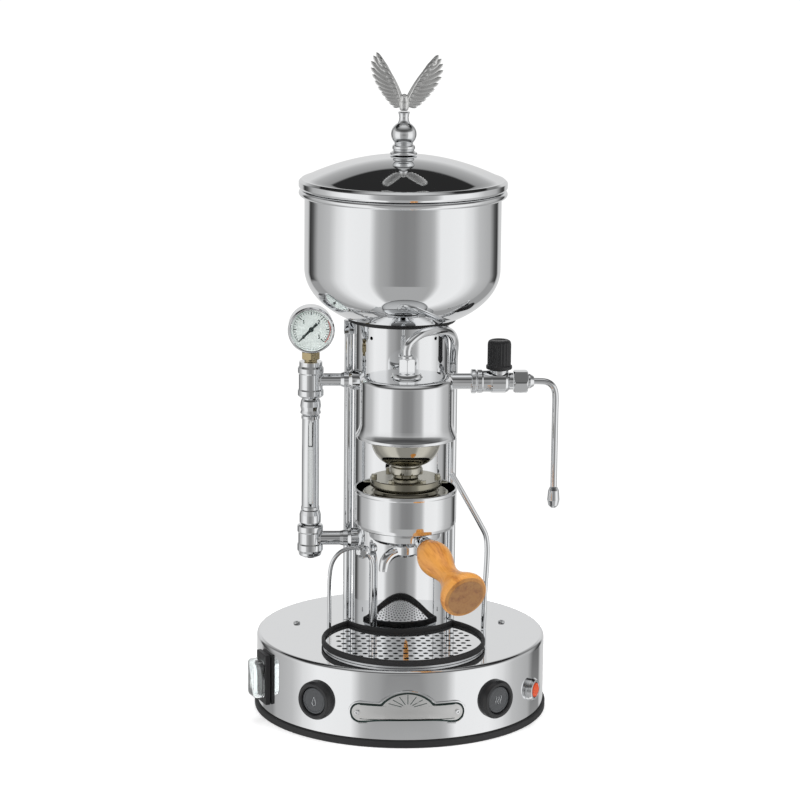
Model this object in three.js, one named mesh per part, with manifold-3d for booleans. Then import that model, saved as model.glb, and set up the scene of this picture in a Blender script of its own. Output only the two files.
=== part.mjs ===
// A tall espresso machine: a round base, a boiler column, a water bowl on top and a brew group in front.
// Millimetres, +Z up. The origin is the middle of the underside of the base, the front faces -Y.
import * as THREE from "three";
import { mergeVertices } from "three/addons/utils/BufferGeometryUtils.js";
import Module from "manifold-3d";

const wasm = await Module();
wasm.setup();

// Driving dimensions
const gap = 0.3; // clearance between touching pieces
const degree = Math.PI / 180;
const panRadius = 127;
const panHeight = 6.5;
const drumRadius = 125;
const drumTop = 66.3;
const drumWall = 1.5;
const drumFillet = 3;
const columnY = 28;
const columnRadius = 41;
const columnTop = 335;
const boilerRadius = 36;
const boilerBottom = 80;
const boilerTop = 324;
const riserX = 45.4;
const riserY = 33;
const riserRadius = 3.75;
const trayY = -48;
const trayRadius = 70;
const trayInner = 50; // the tray stops this far from the column's axis
const bowlRadius = 84.4;
const bowlWall = 2;
const bowlRound = 52; // height of the bowl's rounded bottom
const bowlShoulder = 381;
const bowlTop = 449;
const rimRadius = 89.4;
const lidRadius = 85.4; // where the lid's dome meets its rim
const lidTop = 478.5;
const groupY = -58;
const capTop = 302.8;
const bellRadius = 43;
const bellTop = 208.2;
const bellBottom = 175;
const handleTurn = 24.3;
const handleDroop = 19.5;
const handleHeight = 177.5;
const steamY = 18;
const steamZ = 283.5;
const knobX = 84;
const wandX = 133.5;
const wandEnd = 190;
const sightX = -78.7;
const upperPipeZ = 285;
const lowerPipeZ = 144.3;
const gaugeZ = 331;
const gaugeRadius = 20;
const gaugeRest = 45; // turn of the needle from straight down, at no pressure
const buttonTurn = 36.9;
const buttonZ = 34.5;
const lampTurn = 60;
const lampZ = 31;
const switchTurn = -70;
const switchZ = 37;
const pocketDepth = 20; // length of the cutters for the holes in the drum

// Finishes
const chrome = { color: 0xd9dcde, roughness: 0.08, metalness: 1 };
const nickel = { color: 0xb3a98c, roughness: 0.2, metalness: 1 };
const brass = { color: 0xb08a4a, roughness: 0.3, metalness: 1 };
const steel = { color: 0x9fa3a6, roughness: 0.35, metalness: 1 };
const rubber = { color: 0x151515, roughness: 0.7, metalness: 0 };
const blackPlastic = { color: 0x1b1b1c, roughness: 0.45, metalness: 0 };
const greyPlastic = { color: 0x55575a, roughness: 0.5, metalness: 0 };
const clear = { color: 0xdfe6e8, roughness: 0.1, metalness: 0 };
const wood = { color: 0xb8702a, roughness: 0.45, metalness: 0 };
const lampRed = { color: 0xc8321c, roughness: 0.2, metalness: 0 };
const dialWhite = { color: 0xeef0ee, roughness: 0.6, metalness: 0 };

// Profiles are lists of [radius, height] pairs, from the bottom up along the outside.
function lathe(profile, sides) {
  const points = profile.map(([radius, height]) => new THREE.Vector2(radius, height));
  return new THREE.LatheGeometry(points, sides).rotateX(Math.PI / 2);
}

function ring(inner, outer, bottom, top, sides) {
  return lathe([[inner, bottom], [outer, bottom], [outer, top], [inner, top], [inner, bottom]], sides);
}

function disc(radius, bottom, top, sides) {
  return lathe([[0, bottom], [radius, bottom], [radius, top], [0, top]], sides);
}

// An arc of [radius, height] pairs on an ellipse, for a lathe profile.
function arc(centre, radii, from, to, steps) {
  return Array.from({ length: steps + 1 }, (_, i) => {
    const angle = (from + ((to - from) * i) / steps) * degree;
    return [centre[0] + radii[0] * Math.cos(angle), centre[1] + radii[1] * Math.sin(angle)];
  });
}

function box(width, depth, height, x, y, z) {
  return new THREE.BoxGeometry(width, depth, height).translate(x, y, z);
}

// A round bar along a curve.
function bar(curve, radius, sides, steps) {
  const section = new THREE.Shape();
  const corners = Array.from({ length: sides }, (_, i) => (i * 2 * Math.PI) / sides);
  section.setFromPoints(corners.map((a) => new THREE.Vector2(radius * Math.cos(a), radius * Math.sin(a))));
  return new THREE.ExtrudeGeometry(section, { steps, extrudePath: curve, bevelEnabled: false });
}

function smooth(points) {
  return new THREE.CatmullRomCurve3(points.map((p) => new THREE.Vector3(...p)), false, "centripetal");
}

// A closed triangle mesh as a solid that can be joined and cut.
function solid(geometry) {
  const plain = geometry.clone();
  plain.deleteAttribute("normal");
  plain.deleteAttribute("uv");
  const merged = mergeVertices(plain, 1e-3);
  const corners = merged.index.array;
  const kept = [];
  for (let i = 0; i < corners.length; i += 3) {
    const [a, b, c] = corners.slice(i, i + 3);
    if (a !== b && b !== c && c !== a) kept.push(a, b, c);
  }
  const mesh = new wasm.Mesh({
    numProp: 3,
    vertProperties: new Float32Array(merged.attributes.position.array),
    triVerts: new Uint32Array(kept),
  });
  return new wasm.Manifold(mesh);
}

function shapeOf(body) {
  const mesh = body.getMesh();
  const geometry = new THREE.BufferGeometry();
  geometry.setAttribute("position", new THREE.BufferAttribute(mesh.vertProperties, 3));
  geometry.setIndex(new THREE.BufferAttribute(mesh.triVerts, 1));
  geometry.computeVertexNormals();
  return geometry;
}

function join(...geometries) {
  return shapeOf(geometries.map(solid).reduce((whole, next) => whole.add(next)));
}

function cut(geometry, ...cutters) {
  return shapeOf(cutters.map(solid).reduce((whole, next) => whole.subtract(next), solid(geometry)));
}

function common(first, second) {
  return shapeOf(solid(first).intersect(solid(second)));
}

// A lathe's shape turned so that its axis runs to the front, along -Y.
function toFront(geometry) {
  return geometry.rotateX(Math.PI / 2);
}

// A lathe's shape turned so that its axis runs to the right, along +X.
function toRight(geometry) {
  return geometry.rotateY(Math.PI / 2);
}

function piece(name, geometry, finish) {
  const mesh = new THREE.Mesh(geometry, new THREE.MeshStandardMaterial(finish));
  mesh.name = name;
  return mesh;
}

function at(x, y, z, ...children) {
  const group = new THREE.Group();
  group.position.set(x, y, z);
  group.add(...children);
  return group;
}

// Turned about the machine's upright axis, so that the front of its children faces that way.
function turned(angle, ...children) {
  const group = new THREE.Group();
  group.rotation.z = angle * degree;
  group.add(...children);
  return group;
}

// A flat crescent: a disc about the tray's middle without the part near the column.
function crescent(outer, inner) {
  const apart = columnY - trayY;
  const outerAngle = Math.acos((apart ** 2 + outer ** 2 - inner ** 2) / (2 * apart * outer));
  const innerAngle = Math.acos((apart ** 2 + inner ** 2 - outer ** 2) / (2 * apart * inner));
  const up = Math.PI / 2;
  const shape = new THREE.Shape();
  shape.absarc(0, trayY, outer, up + outerAngle, 2.5 * Math.PI - outerAngle, false);
  shape.absarc(0, columnY, inner, innerAngle - up, -innerAngle - up, true);
  return shape;
}

function crescentPlate(outer, inner, bottom, top) {
  const plate = new THREE.ExtrudeGeometry(crescent(outer, inner), {
    depth: top - bottom,
    bevelEnabled: false,
    curveSegments: 14,
  });
  return plate.translate(0, 0, bottom);
}

// Base

function basePan() {
  const edge = [[0, 0], [panRadius, 0], [panRadius, 5.7], [126.2, panHeight], [121, panHeight], [121, 3], [0, 3]];
  return piece("base_pan", lathe(edge, 44), rubber);
}

function radialHole(angle, radius, height) {
  const cutter = toFront(disc(radius, drumRadius - pocketDepth, drumRadius + pocketDepth, 16));
  return cutter.translate(0, 0, height).rotateZ(angle * degree);
}

function baseDrum() {
  const inside = drumRadius - drumWall;
  const top = drumTop - drumWall;
  const fillet = arc([drumRadius - drumFillet, drumTop - drumFillet], [drumFillet, drumFillet], 0, 90, 3);
  const wall = [[0, top], [inside, top], [inside, panHeight + gap], [drumRadius, panHeight + gap]];
  const drum = lathe([...wall, ...fillet, [0, drumTop]], 44);
  const switchHole = box(16, 2 * pocketDepth, 28, 0, -drumRadius, switchZ).rotateZ(switchTurn * degree);
  const inletHole = box(28.6, 2 * pocketDepth, 20.6, 0, drumRadius, 32);
  return piece("base_drum", cut(
    drum,
    crescentPlate(66.6, 52.4, drumTop - 5, drumTop + 5),
    radialHole(-buttonTurn, 13.4, buttonZ),
    radialHole(buttonTurn, 13.4, buttonZ),
    radialHole(lampTurn, 7.4, lampZ),
    switchHole,
    inletHole,
  ), chrome);
}

function dripTray() {
  const flange = crescentPlate(69, 51, drumTop + gap, 68.2);
  const pan = crescentPlate(65.8, 53.2, 46.3, 68.2);
  const hollow = crescentPlate(64.4, 54.6, 47.7, 70);
  return piece("drip_tray", cut(join(flange, pan), hollow), steel);
}

function trayRim() {
  const rim = crescentPlate(trayRadius, trayInner, 68.5, 73.5);
  return piece("tray_rim", cut(rim, crescentPlate(67, 53, 67, 75)), rubber);
}

// Rows of round drain holes in the grille.
function dripGrille() {
  const plate = crescentPlate(66.4, 53.6, 68.5, 70.1);
  const holes = [];
  for (const y of [-96, -82, -68, -54, -40]) {
    for (const x of [-28, -14, 0, 14, 28]) {
      holes.push(disc(2.6, 67, 72, 5).translate(x, y, 0));
    }
  }
  return piece("drip_grille", cut(plate, ...holes), steel);
}

// A curved plate with rounded ends and a low arch, held by a screw at each end.
function namePlate() {
  const outline = new THREE.Shape();
  outline.moveTo(-40, 19);
  outline.lineTo(40, 19);
  outline.absarc(40, 29.5, 10.5, -Math.PI / 2, Math.PI / 2, false);
  outline.lineTo(22, 40);
  outline.quadraticCurveTo(0, 60, -22, 40);
  outline.lineTo(-40, 40);
  outline.absarc(-40, 29.5, 10.5, Math.PI / 2, 1.5 * Math.PI, false);
  const block = new THREE.ExtrudeGeometry(outline, { depth: 50, bevelEnabled: false, curveSegments: 4 });
  block.rotateX(Math.PI / 2).translate(0, -90, 0);
  const band = ring(drumRadius + gap, drumRadius + 2.1, 15, 60, 88);
  const screws = [-43.5, 43.5].map((x) => {
    const head = toFront(lathe([[0, 0], [2.4, 0], [2, 1.6], [0, 2.4]], 10));
    return head.translate(0, -drumRadius - 1.6, 29.5).rotateZ(Math.asin(x / drumRadius));
  });
  return piece("name_plate", join(common(block, band), ...screws), chrome);
}

function pushButton(name, angle) {
  const seat = drumRadius + gap + 0.1;
  const bezel = [[11.9, 118], [13, 118], [13, seat], [16.5, seat], [16.5, 128.5], [15.4, 131], [12.6, 131],
    [11.9, 130], [11.9, 118]];
  const button = [[0, 106], [4, 106], [4, 119], [11.4, 119], [11.4, 128.4], [10.6, 129.4], [0, 129.4]];
  return turned(angle, at(0, 0, buttonZ,
    piece(`${name}_bezel`, toFront(lathe(bezel, 18)), blackPlastic),
    piece(name, toFront(lathe(button, 18)), greyPlastic),
  ));
}

function lamp() {
  const seat = drumRadius + gap + 0.1;
  const bezel = [[5.6, 119], [6.8, 119], [6.8, seat], [10, seat], [10, 128], [8, 131], [6.6, 131], [6.6, 122],
    [5.6, 122], [5.6, 119]];
  const lens = [[0, 122.4], [6.2, 122.4], [6.2, 130], ...arc([0, 130], [6.2, 3], 15, 90, 4)];
  return turned(lampTurn, at(0, 0, lampZ,
    piece("lamp_bezel", toFront(lathe(bezel, 16)), chrome),
    piece("lamp_lens", toFront(lathe(lens, 14)), lampRed),
  ));
}

function mainSwitch() {
  const seat = drumRadius + gap + 0.1;
  const frame = cut(box(22, 4, 44, 0, -seat - 2, 0), box(15, 20, 27, 0, -seat, 0));
  const side = new THREE.Shape();
  side.moveTo(-12.6, -127.5);
  side.lineTo(-12.6, -133);
  side.lineTo(0, -130.6);
  side.lineTo(12.6, -130.6);
  side.lineTo(12.6, -127.5);
  side.lineTo(5, -116);
  side.lineTo(-5, -116);
  const rocker = new THREE.ExtrudeGeometry(side, { depth: 13.6, bevelEnabled: false });
  rocker.rotateY(Math.PI / 2).translate(-6.8, 0, 0);
  const cover = cut(box(19, 9, 32, 0, -134.5, 0), box(17, 12, 30, 0, -131.6, 0));
  return turned(switchTurn, at(0, 0, switchZ,
    piece("switch_frame", frame, blackPlastic),
    piece("switch_rocker", rocker, blackPlastic),
    piece("switch_cover", cover, clear),
  ));
}

function powerInlet() {
  const body = join(box(34, 3, 26, 0, drumRadius + gap + 1.6, 32), box(28, 24, 20, 0, drumRadius - 10, 32));
  return piece("power_inlet", cut(body, box(22, 20, 14, 0, drumRadius + 2, 32)), blackPlastic);
}

function pump() {
  const body = lathe([[0, -45], [9, -45], [9, -38], [20, -38], [20, 30], [8, 30], [8, 45], [0, 45]], 14);
  return at(10, 74, 34, piece("pump", toRight(body), steel));
}

function controlBox() {
  return piece("control_box", box(44, 50, 30, -62, 10, 24), blackPlastic);
}

// Column and water bowl

function column() {
  const pipeY = steamY - columnY;
  const pipeHole = (radius, from, to) => toRight(disc(radius, from, to, 14)).translate(0, pipeY, 0);
  const sleeve = cut(
    ring(columnRadius - 2, columnRadius, drumTop + gap, columnTop, 30),
    pipeHole(7.4, 0, 60).translate(0, 0, steamZ),
    pipeHole(6.1, -60, 0).translate(0, 0, upperPipeZ),
    pipeHole(6.6, -60, 0).translate(0, 0, lowerPipeZ),
    toFront(disc(10.6, 20, 60, 14)).translate(0, 0, 237),
    toFront(disc(1.5, 20, 60, 8)).translate(0, 0, 325).rotateZ(-42 * degree),
    toFront(disc(1.5, 20, 60, 8)).translate(0, 0, 325).rotateZ(42 * degree),
  );
  const inner = boilerRadius - 2;
  const vessel = [[0, boilerTop - 3], [29, boilerTop - 3], [inner, 316], [inner, boilerBottom + 3],
    [24, boilerBottom + 3], [24, boilerBottom], [boilerRadius, boilerBottom], [boilerRadius, 318],
    [30, boilerTop], [0, boilerTop]];
  return at(0, columnY, 0,
    piece("column_sleeve", sleeve, chrome),
    piece("boiler_vessel", lathe(vessel, 26), brass),
    heatingElement(),
    piece("bowl_seat_ring", ring(36, 46.6, columnTop + gap, 340.5, 26), rubber),
  );
}

function heatingElement() {
  const loop = smooth([[-9, 0, 76], [-9, 0, 150], [-9, 0, 196], [0, 0, 208], [9, 0, 196], [9, 0, 150],
    [9, 0, 76]]);
  const flange = disc(32, 73, boilerBottom - gap, 16);
  return piece("heating_element", join(flange, bar(loop, 4, 6, 20)), steel);
}

// The bowl's outside: flat recess over the seat ring, a rounded bottom, an upright wall and a rolled rim.
function reservoirBowl() {
  const outside = arc([0, bowlShoulder], [bowlRadius, bowlRound], -54.6, 0, 7);
  const inside = arc([0, bowlShoulder], [bowlRadius - bowlWall, bowlRound - bowlWall], 0, -49.5, 5);
  const rim = [[bowlRadius, 443], [88, 443.4], [rimRadius, 446], [88, 448.6], [bowlRadius - 1, bowlTop]];
  const profile = [[0, 341], [47.3, 341], ...outside, ...rim, [bowlRadius - bowlWall, bowlTop - 1], ...inside,
    [0, 343]];
  const strainer = [[0, 343.3], [12, 343.3], [12, 345], [8, 352], [0, 352]];
  return at(0, columnY, 0,
    piece("reservoir_bowl", lathe(profile, 30), chrome),
    piece("outlet_strainer", lathe(strainer, 12), brass),
  );
}

function lid() {
  const rim = [[lidRadius, bowlTop + gap], [88.4, bowlTop + gap], [rimRadius, 452], [rimRadius, 456], [88, 458]];
  const domeHeight = lidTop - 458;
  const dome = Array.from({ length: 6 }, (_, i) => {
    const radius = lidRadius * (1 - i / 5);
    return [radius, 458.2 + domeHeight * (1 - (radius / lidRadius) ** 2)];
  });
  const under = dome.slice(0, 5).reverse().map(([radius, height]) => [radius * 0.985, height - 1.8]);
  return piece("lid", lathe([[0, lidTop - 1.6], ...under, [84.4, 455], ...rim, ...dome], 30), chrome);
}

function finialStem() {
  const start = lidTop + 0.2 + gap;
  const foot = [[0, start], [11.7, start], [11.7, 481], [9.6, 482], [9.9, 485], [8.3, 488]];
  const ball = arc([0, 496.3], [11, 10.7], -45, 55, 7);
  return piece("finial_stem", lathe([...foot, ...ball, [4.6, 507], [4, 511], [5, 515.7], [0, 515.7]], 16), chrome);
}

// A plain bird with both wings raised. Each wing is a flat blade with its outline going round from the root.
function finialBird() {
  const wing = (...outline) => {
    const shape = new THREE.Shape(outline.map(([x, z]) => new THREE.Vector2(x, z)));
    const blade = new THREE.ExtrudeGeometry(shape, { depth: 2.6, bevelEnabled: false });
    return blade.rotateX(Math.PI / 2).translate(0, 1.3, 0);
  };
  const right = wing([0, 519], [8, 517], [14, 519], [22, 530], [31, 542], [33.5, 552], [33, 558], [29, 563.8],
    [21.6, 556.2], [11.6, 544.5], [6.6, 534.4], [0, 528]);
  const left = wing([0, 519], [0, 528], [-4.1, 531], [-8.3, 542.8], [-18.2, 556.2], [-24, 566], [-28, 561],
    [-29, 554], [-27, 544], [-22, 535.5], [-14.5, 526.5], [-8.5, 517.8]);
  const body = lathe([[0, 516.3], [3.4, 517], [4.6, 521], [3.6, 525], [3.4, 528], [1.8, 530.6], [0, 531.2]], 10);
  return piece("finial_bird", join(body, right, left), chrome);
}

// Pipes beside the column

function feedRiser() {
  const nut = disc(5.1, 322, 334.7, 6);
  return at(-riserX, riserY, 0,
    piece("feed_riser", join(disc(riserRadius, drumTop + gap, 334.7, 10), nut), chrome));
}

// The riser on the right goes up beside the column and arches over to the top of the group.
function brewPipe() {
  const upright = disc(riserRadius, drumTop + gap, 284, 8).translate(riserX, riserY, 0);
  const arch = smooth([[riserX, riserY, 283.9], [riserX, riserY, 300], [45.2, 22, 318], [39, -2, 330.5],
    [27, -28, 336.5], [13, -47, 337.5], [3, -56, 332], [0, groupY, 326], [0, groupY, 319.6]]);
  return piece("brew_pipe", join(upright, bar(arch, riserRadius, 8, 22)), chrome);
}

// Brew group

function groupCap() {
  const shoulder = arc([34, capTop - 4.6], [4.6, 4.6], 0, 90, 4);
  const lip = [[36.6, 251.5], [42, 251.5], [42.6, 253], [41.8, 254.6], [39.4, 260.4]];
  const inside = [[0, capTop - 2], [34, capTop - 2], [36.6, capTop - 5]];
  const shell = lathe([...inside, ...lip, ...shoulder, [0, capTop]], 28);
  const boss = disc(12, capTop - 1, 306, 14);
  const nut = disc(7.6, 305, 319.2, 6);
  return piece("group_cap", join(shell, boss, nut), chrome);
}

function groupBodyShape(extra) {
  const bowl = arc([16, 250], [14 + extra, 22], -75, 0, 6);
  const neck = [[10.5, 219.8], [13.4, 221.5], [13.4, 227]].map(([radius, height]) => [radius + extra, height]);
  const top = capTop - 2 - gap;
  return lathe([[0, 217.1], [10.5 + extra, 217.1], ...neck, ...bowl, [30 + extra, top], [0, top]], 20);
}

function groupBody() {
  return piece("group_body", groupBodyShape(0), nickel);
}

function groupArm() {
  const start = columnY - boilerRadius - gap;
  const arm = toFront(disc(10, -start, 60, 14)).translate(0, 0, 237);
  const clearance = groupBodyShape(2 * gap).translate(0, groupY, 0);
  const flange = toFront(disc(13.8, 14.2, 20, 14)).translate(0, 0, 237);
  return piece("group_arm", cut(join(arm, flange), clearance), chrome);
}

// The head holds the gasket and has a groove with two gaps for the portafilter's lugs.
function groupHead() {
  const profile = [[0, 196], [33.8, 196], [33.8, 183.4], [31.4, 183.4], [31.4, 180.5], [36.5, 180.5],
    [36.5, 205], [27, 207], [27, 209.8], [30, 209.8], [30, 216.8], [0, 216.8]];
  const lugGap = box(90, 20, 5, 0, 0, 181).rotateZ(-52 * degree);
  return piece("group_head", cut(lathe(profile, 26), lugGap), nickel);
}

function groupBell() {
  const outside = [[41, bellBottom], [bellRadius - 0.6, 178], [bellRadius, 181], [bellRadius, 206],
    [bellRadius + 0.5, bellTop]];
  const inside = [[bellRadius - 1.6, bellTop], [bellRadius - 1.6, 181], [40.6, 177.4], [33, 177.4],
    [33, bellBottom]];
  return piece("group_bell", lathe([[33, bellBottom], ...outside, ...inside], 28), chrome);
}

function brewGroup() {
  return at(0, groupY, 0,
    groupCap(),
    groupBody(),
    groupHead(),
    groupBell(),
    piece("group_gasket", ring(25, 33.4, 189.4, 195.7, 20), rubber),
    piece("shower_screen", disc(24.5, 192.5, 195.7, 18), steel),
  );
}

// Portafilter: everything below turns together about the group's upright axis.

function portafilterHead() {
  const cup = lathe([[0, 163], [27, 163], [30.2, 166], [30.8, 170], [30.8, 186.2], [28.2, 186.2], [28.2, 168],
    [0, 166]], 22);
  const lugs = common(ring(28.5, 33.3, 183.8, 186.2, 22), box(80, 14, 20, 0, 0, 185));
  const stub = toFront(disc(6.2, 24, 32.6, 12)).rotateX(handleDroop * degree);
  const cavity = disc(28.2, 168, 200, 22);
  return piece("portafilter_head", join(cut(stub.translate(0, 0, handleHeight), cavity), cup, lugs), nickel);
}

function filterBasket() {
  return piece("filter_basket", lathe([[0, 169], [23, 169], [24, 171], [27.4, 186.6], [30.4, 186.6], [30.4, 188.4],
    [26.6, 188.4], [22.6, 170.2], [0, 170.2]], 20), steel);
}

// A block under the bowl that splits into two curved legs.
function twinSpout() {
  const block = lathe([[0, 148], [8, 148], [10.3, 150], [10.3, 158], [12, 159], [12, 162.6], [0, 162.6]], 16);
  const legs = [-1, 1].map((side) => bar(smooth([[0, 0, 153], [side * 8, 0, 152.5], [side * 15, 0, 150],
    [side * 19.2, 0, 144.5], [side * 20, 0, 137]]), 4.4, 8, 7));
  return piece("twin_spout", join(block, ...legs), chrome);
}

function handle() {
  const ferrule = [[0, 33], [6.4, 33], [7, 35], [7, 38], [9.4, 40.4], [9.4, 41.7], [0, 41.7]];
  const grip = [[0, 42], [9.4, 42], [11, 45], [13.4, 51.5], [14.2, 57.5], [13.2, 65], [10.6, 73], [9.1, 80.5],
    [9.8, 88], [13, 96.5], [17.8, 104], [20, 109], [19.6, 113], [17, 115.6], [0, 115.6]];
  const group = at(0, 0, handleHeight,
    piece("handle_ferrule", toFront(lathe(ferrule, 16)), chrome),
    piece("handle_grip", toFront(lathe(grip, 18)), wood),
  );
  group.rotation.x = handleDroop * degree;
  return group;
}

function portafilter() {
  const group = turned(handleTurn, portafilterHead(), filterBasket(), twinSpout(), handle());
  group.position.y = groupY;
  return group;
}

// Steam side

function steamPipe() {
  const pipe = disc(6.9, boilerRadius + 2 * gap, 64, 14);
  const collar = disc(11, 60, 64, 14);
  return piece("steam_pipe", toRight(join(pipe, collar)), chrome);
}

function steamValveBody() {
  const body = lathe([[0, 64.3], [9, 64.3], [10.2, 65.5], [10.2, 91.5], [9, 93], [7.4, 93], [7.4, 96.2],
    [0, 96.2]], 14);
  const bonnet = disc(8, 0, 10.8, 12).translate(knobX, 0, 0);
  return piece("steam_valve_body", join(toRight(body), bonnet), chrome);
}

function steamKnob() {
  const knob = [[0, 11.2], [11.3, 11.2], [11.3, 14], [10.2, 15], [10.2, 34], [8.6, 36.5], [0, 36.5]];
  return at(knobX, 0, 0, piece("steam_knob", lathe(knob, 16), blackPlastic));
}

function wandNut() {
  return piece("wand_nut", toRight(disc(10.6, 96.5, 109, 6)), chrome);
}

// The wand leaves the nut to the right and bends down.
function steamWand() {
  const route = smooth([[111, 0, 0], [120, 0, 0], [128, 0, -1.6], [132.4, 0, -6.5], [wandX, 0, -15],
    [wandX, 0, -50], [wandX, 0, wandEnd - steamZ]]);
  const ferrule = toRight(lathe([[0, 109.3], [6.5, 109.3], [6.5, 111], [4.4, 114], [0, 114]], 12));
  const tip = [[0, 171], [2.4, 171], [4.4, 173], [5.5, 179], [4.6, 187], [3, wandEnd - gap], [0, wandEnd - gap]];
  return [
    piece("steam_wand", join(ferrule, bar(route, 2.8, 10, 16)), chrome),
    at(wandX, 0, -steamZ, piece("wand_tip", lathe(tip, 12), chrome)),
  ];
}

function steamSide() {
  return at(0, steamY, steamZ, steamPipe(), steamValveBody(), steamKnob(), wandNut(), ...steamWand());
}

// Sight glass and gauge

// A level pipe from the boiler's wall to the sight glass, flared where it meets the column.
function levelPipe(radius) {
  const start = boilerRadius + 2 * gap;
  const pipe = lathe([[0, start], [radius, start], [radius, 41.7], [9, 42], [9, 44], [6.8, 50], [radius, 56],
    [radius, 70], [8.4, 70], [8.4, 78], [0, 78]], 12);
  return toRight(pipe).rotateZ(Math.PI);
}

function upperTee() {
  const body = lathe([[0, 270], [9.8, 270], [11.3, 271.5], [11.3, 296], [10, 297.5], [10, 301], [0, 301]], 16);
  return piece("upper_tee", join(body, levelPipe(5.6).translate(-sightX, 0, upperPipeZ)), chrome);
}

function lowerTee() {
  const body = lathe([[0, 127.5], [6, 127.5], [9.8, 129.5], [11.4, 134], [11.4, 155.5], [10, 157], [0, 157]], 16);
  return piece("lower_tee", join(body, levelPipe(6.1).translate(-sightX, 0, lowerPipeZ)), chrome);
}

function sightGlass() {
  const slot = new THREE.Shape();
  slot.moveTo(0, 172);
  slot.lineTo(2, 177);
  slot.lineTo(2, 246);
  slot.lineTo(0, 251);
  slot.lineTo(-2, 246);
  slot.lineTo(-2, 177);
  const window = new THREE.ExtrudeGeometry(slot, { depth: 12, bevelEnabled: false }).rotateX(Math.PI / 2);
  const upperNut = [[0, 254], [7.4, 254], [9, 256], [8.2, 258], [9.2, 262], [8.4, 267], [6.8, 269.7], [0, 269.7]];
  const lowerNut = [[0, 157.3], [8.4, 157.3], [9.4, 159], [9.4, 166], [8.2, 169.7], [0, 169.7]];
  return [
    piece("sight_guard", cut(ring(6, 7.55, 170, 253.7, 16), window), chrome),
    piece("sight_tube", ring(2.8, 4.2, 170, 253.7, 12), clear),
    piece("upper_gland_nut", lathe(upperNut, 14), chrome),
    piece("lower_gland_nut", lathe(lowerNut, 14), chrome),
  ];
}

// The gauge faces the front. Its case has a brass neck that screws into the upper tee.
function gauge() {
  const front = gaugeRadius;
  const shell = [[0, -7], [17, -7], [19.3, -5], [19.3, 14], [front, 14.6], [front, 17.4], [18.6, 18.6],
    [17.6, 17.6], [17.6, -4.6], [0, -4.6]];
  const neck = disc(5.6, 301.3 - gaugeZ, -18.4, 10);
  const collar = disc(8.6, 303.2 - gaugeZ, -21, 6);
  const pointer = new THREE.Shape();
  pointer.setFromPoints([[-0.5, -14], [0.5, -14], [1, 5], [-1, 5]].map((p) => new THREE.Vector2(...p)));
  const needle = new THREE.ExtrudeGeometry(pointer, { depth: 0.8, bevelEnabled: false });
  needle.rotateX(Math.PI / 2).translate(0, -11.4, 0).rotateY(gaugeRest * degree);
  const hub = toFront(disc(2.2, 11.2, 13, 10));
  return at(0, 0, gaugeZ,
    piece("gauge_case", join(toFront(lathe(shell, 22)), neck, collar), chrome),
    piece("gauge_dial", toFront(disc(17.2, 9.6, 10.8, 20)), dialWhite),
    piece("gauge_needle", join(needle, hub), blackPlastic),
    piece("gauge_glass", toFront(disc(17.2, 14.4, 15.8, 20)), clear),
  );
}

function sightSide() {
  return at(sightX, steamY, 0, upperTee(), lowerTee(), ...sightGlass(), gauge());
}

// Small tubes

function drainPipes() {
  const fitting = toFront(lathe([[0, 3], [6, 3], [6, 6], [5, 7], [5, 11], [3, 13], [0, 13]], 10));
  const outer = smooth([[-33.5, -8, 139], [-42, -8, 142], [-52, -8, 138.5], [-60, -8, 127], [-62.4, -8, 112],
    [-62.4, -8, 90], [-62.4, -8, drumTop + gap]]);
  const inner = smooth([[-32, -8, 137], [-27, -8, 132], [-25.3, -8, 122], [-25.3, -8, 95],
    [-25.3, -8, drumTop + gap]]);
  const body = join(fitting.translate(-33.5, 0, 138), bar(outer, 1.8, 6, 18), bar(inner, 1.8, 6, 12));
  return piece("drain_pipes", body, chrome);
}

function exhaustPipe() {
  const route = smooth([[43, 4, 205], [50, 2.6, 193], [60, 1.2, 175.5], [69, 0.2, 159.5], [74.2, 0, 148.6],
    [74.6, 0, 138], [73.6, 0, 105], [72.5, 0, drumTop + gap]]);
  return piece("exhaust_pipe", bar(route, 2.3, 6, 20), chrome);
}

const machine = new THREE.Group();
machine.add(
  basePan(),
  baseDrum(),
  namePlate(),
  dripTray(),
  trayRim(),
  dripGrille(),
  pushButton("brew_button", -buttonTurn),
  pushButton("steam_button", buttonTurn),
  lamp(),
  mainSwitch(),
  powerInlet(),
  pump(),
  controlBox(),
  column(),
  reservoirBowl(),
  at(0, columnY, 0, lid(), finialStem(), finialBird()),
  feedRiser(),
  brewPipe(),
  groupArm(),
  brewGroup(),
  portafilter(),
  steamSide(),
  sightSide(),
  drainPipes(),
  exhaustPipe(),
);

export default machine;
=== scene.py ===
import math
import re
import bpy
import numpy as np
from mathutils import Matrix, Vector
from mathutils.geometry import delaunay_2d_cdt


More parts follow.
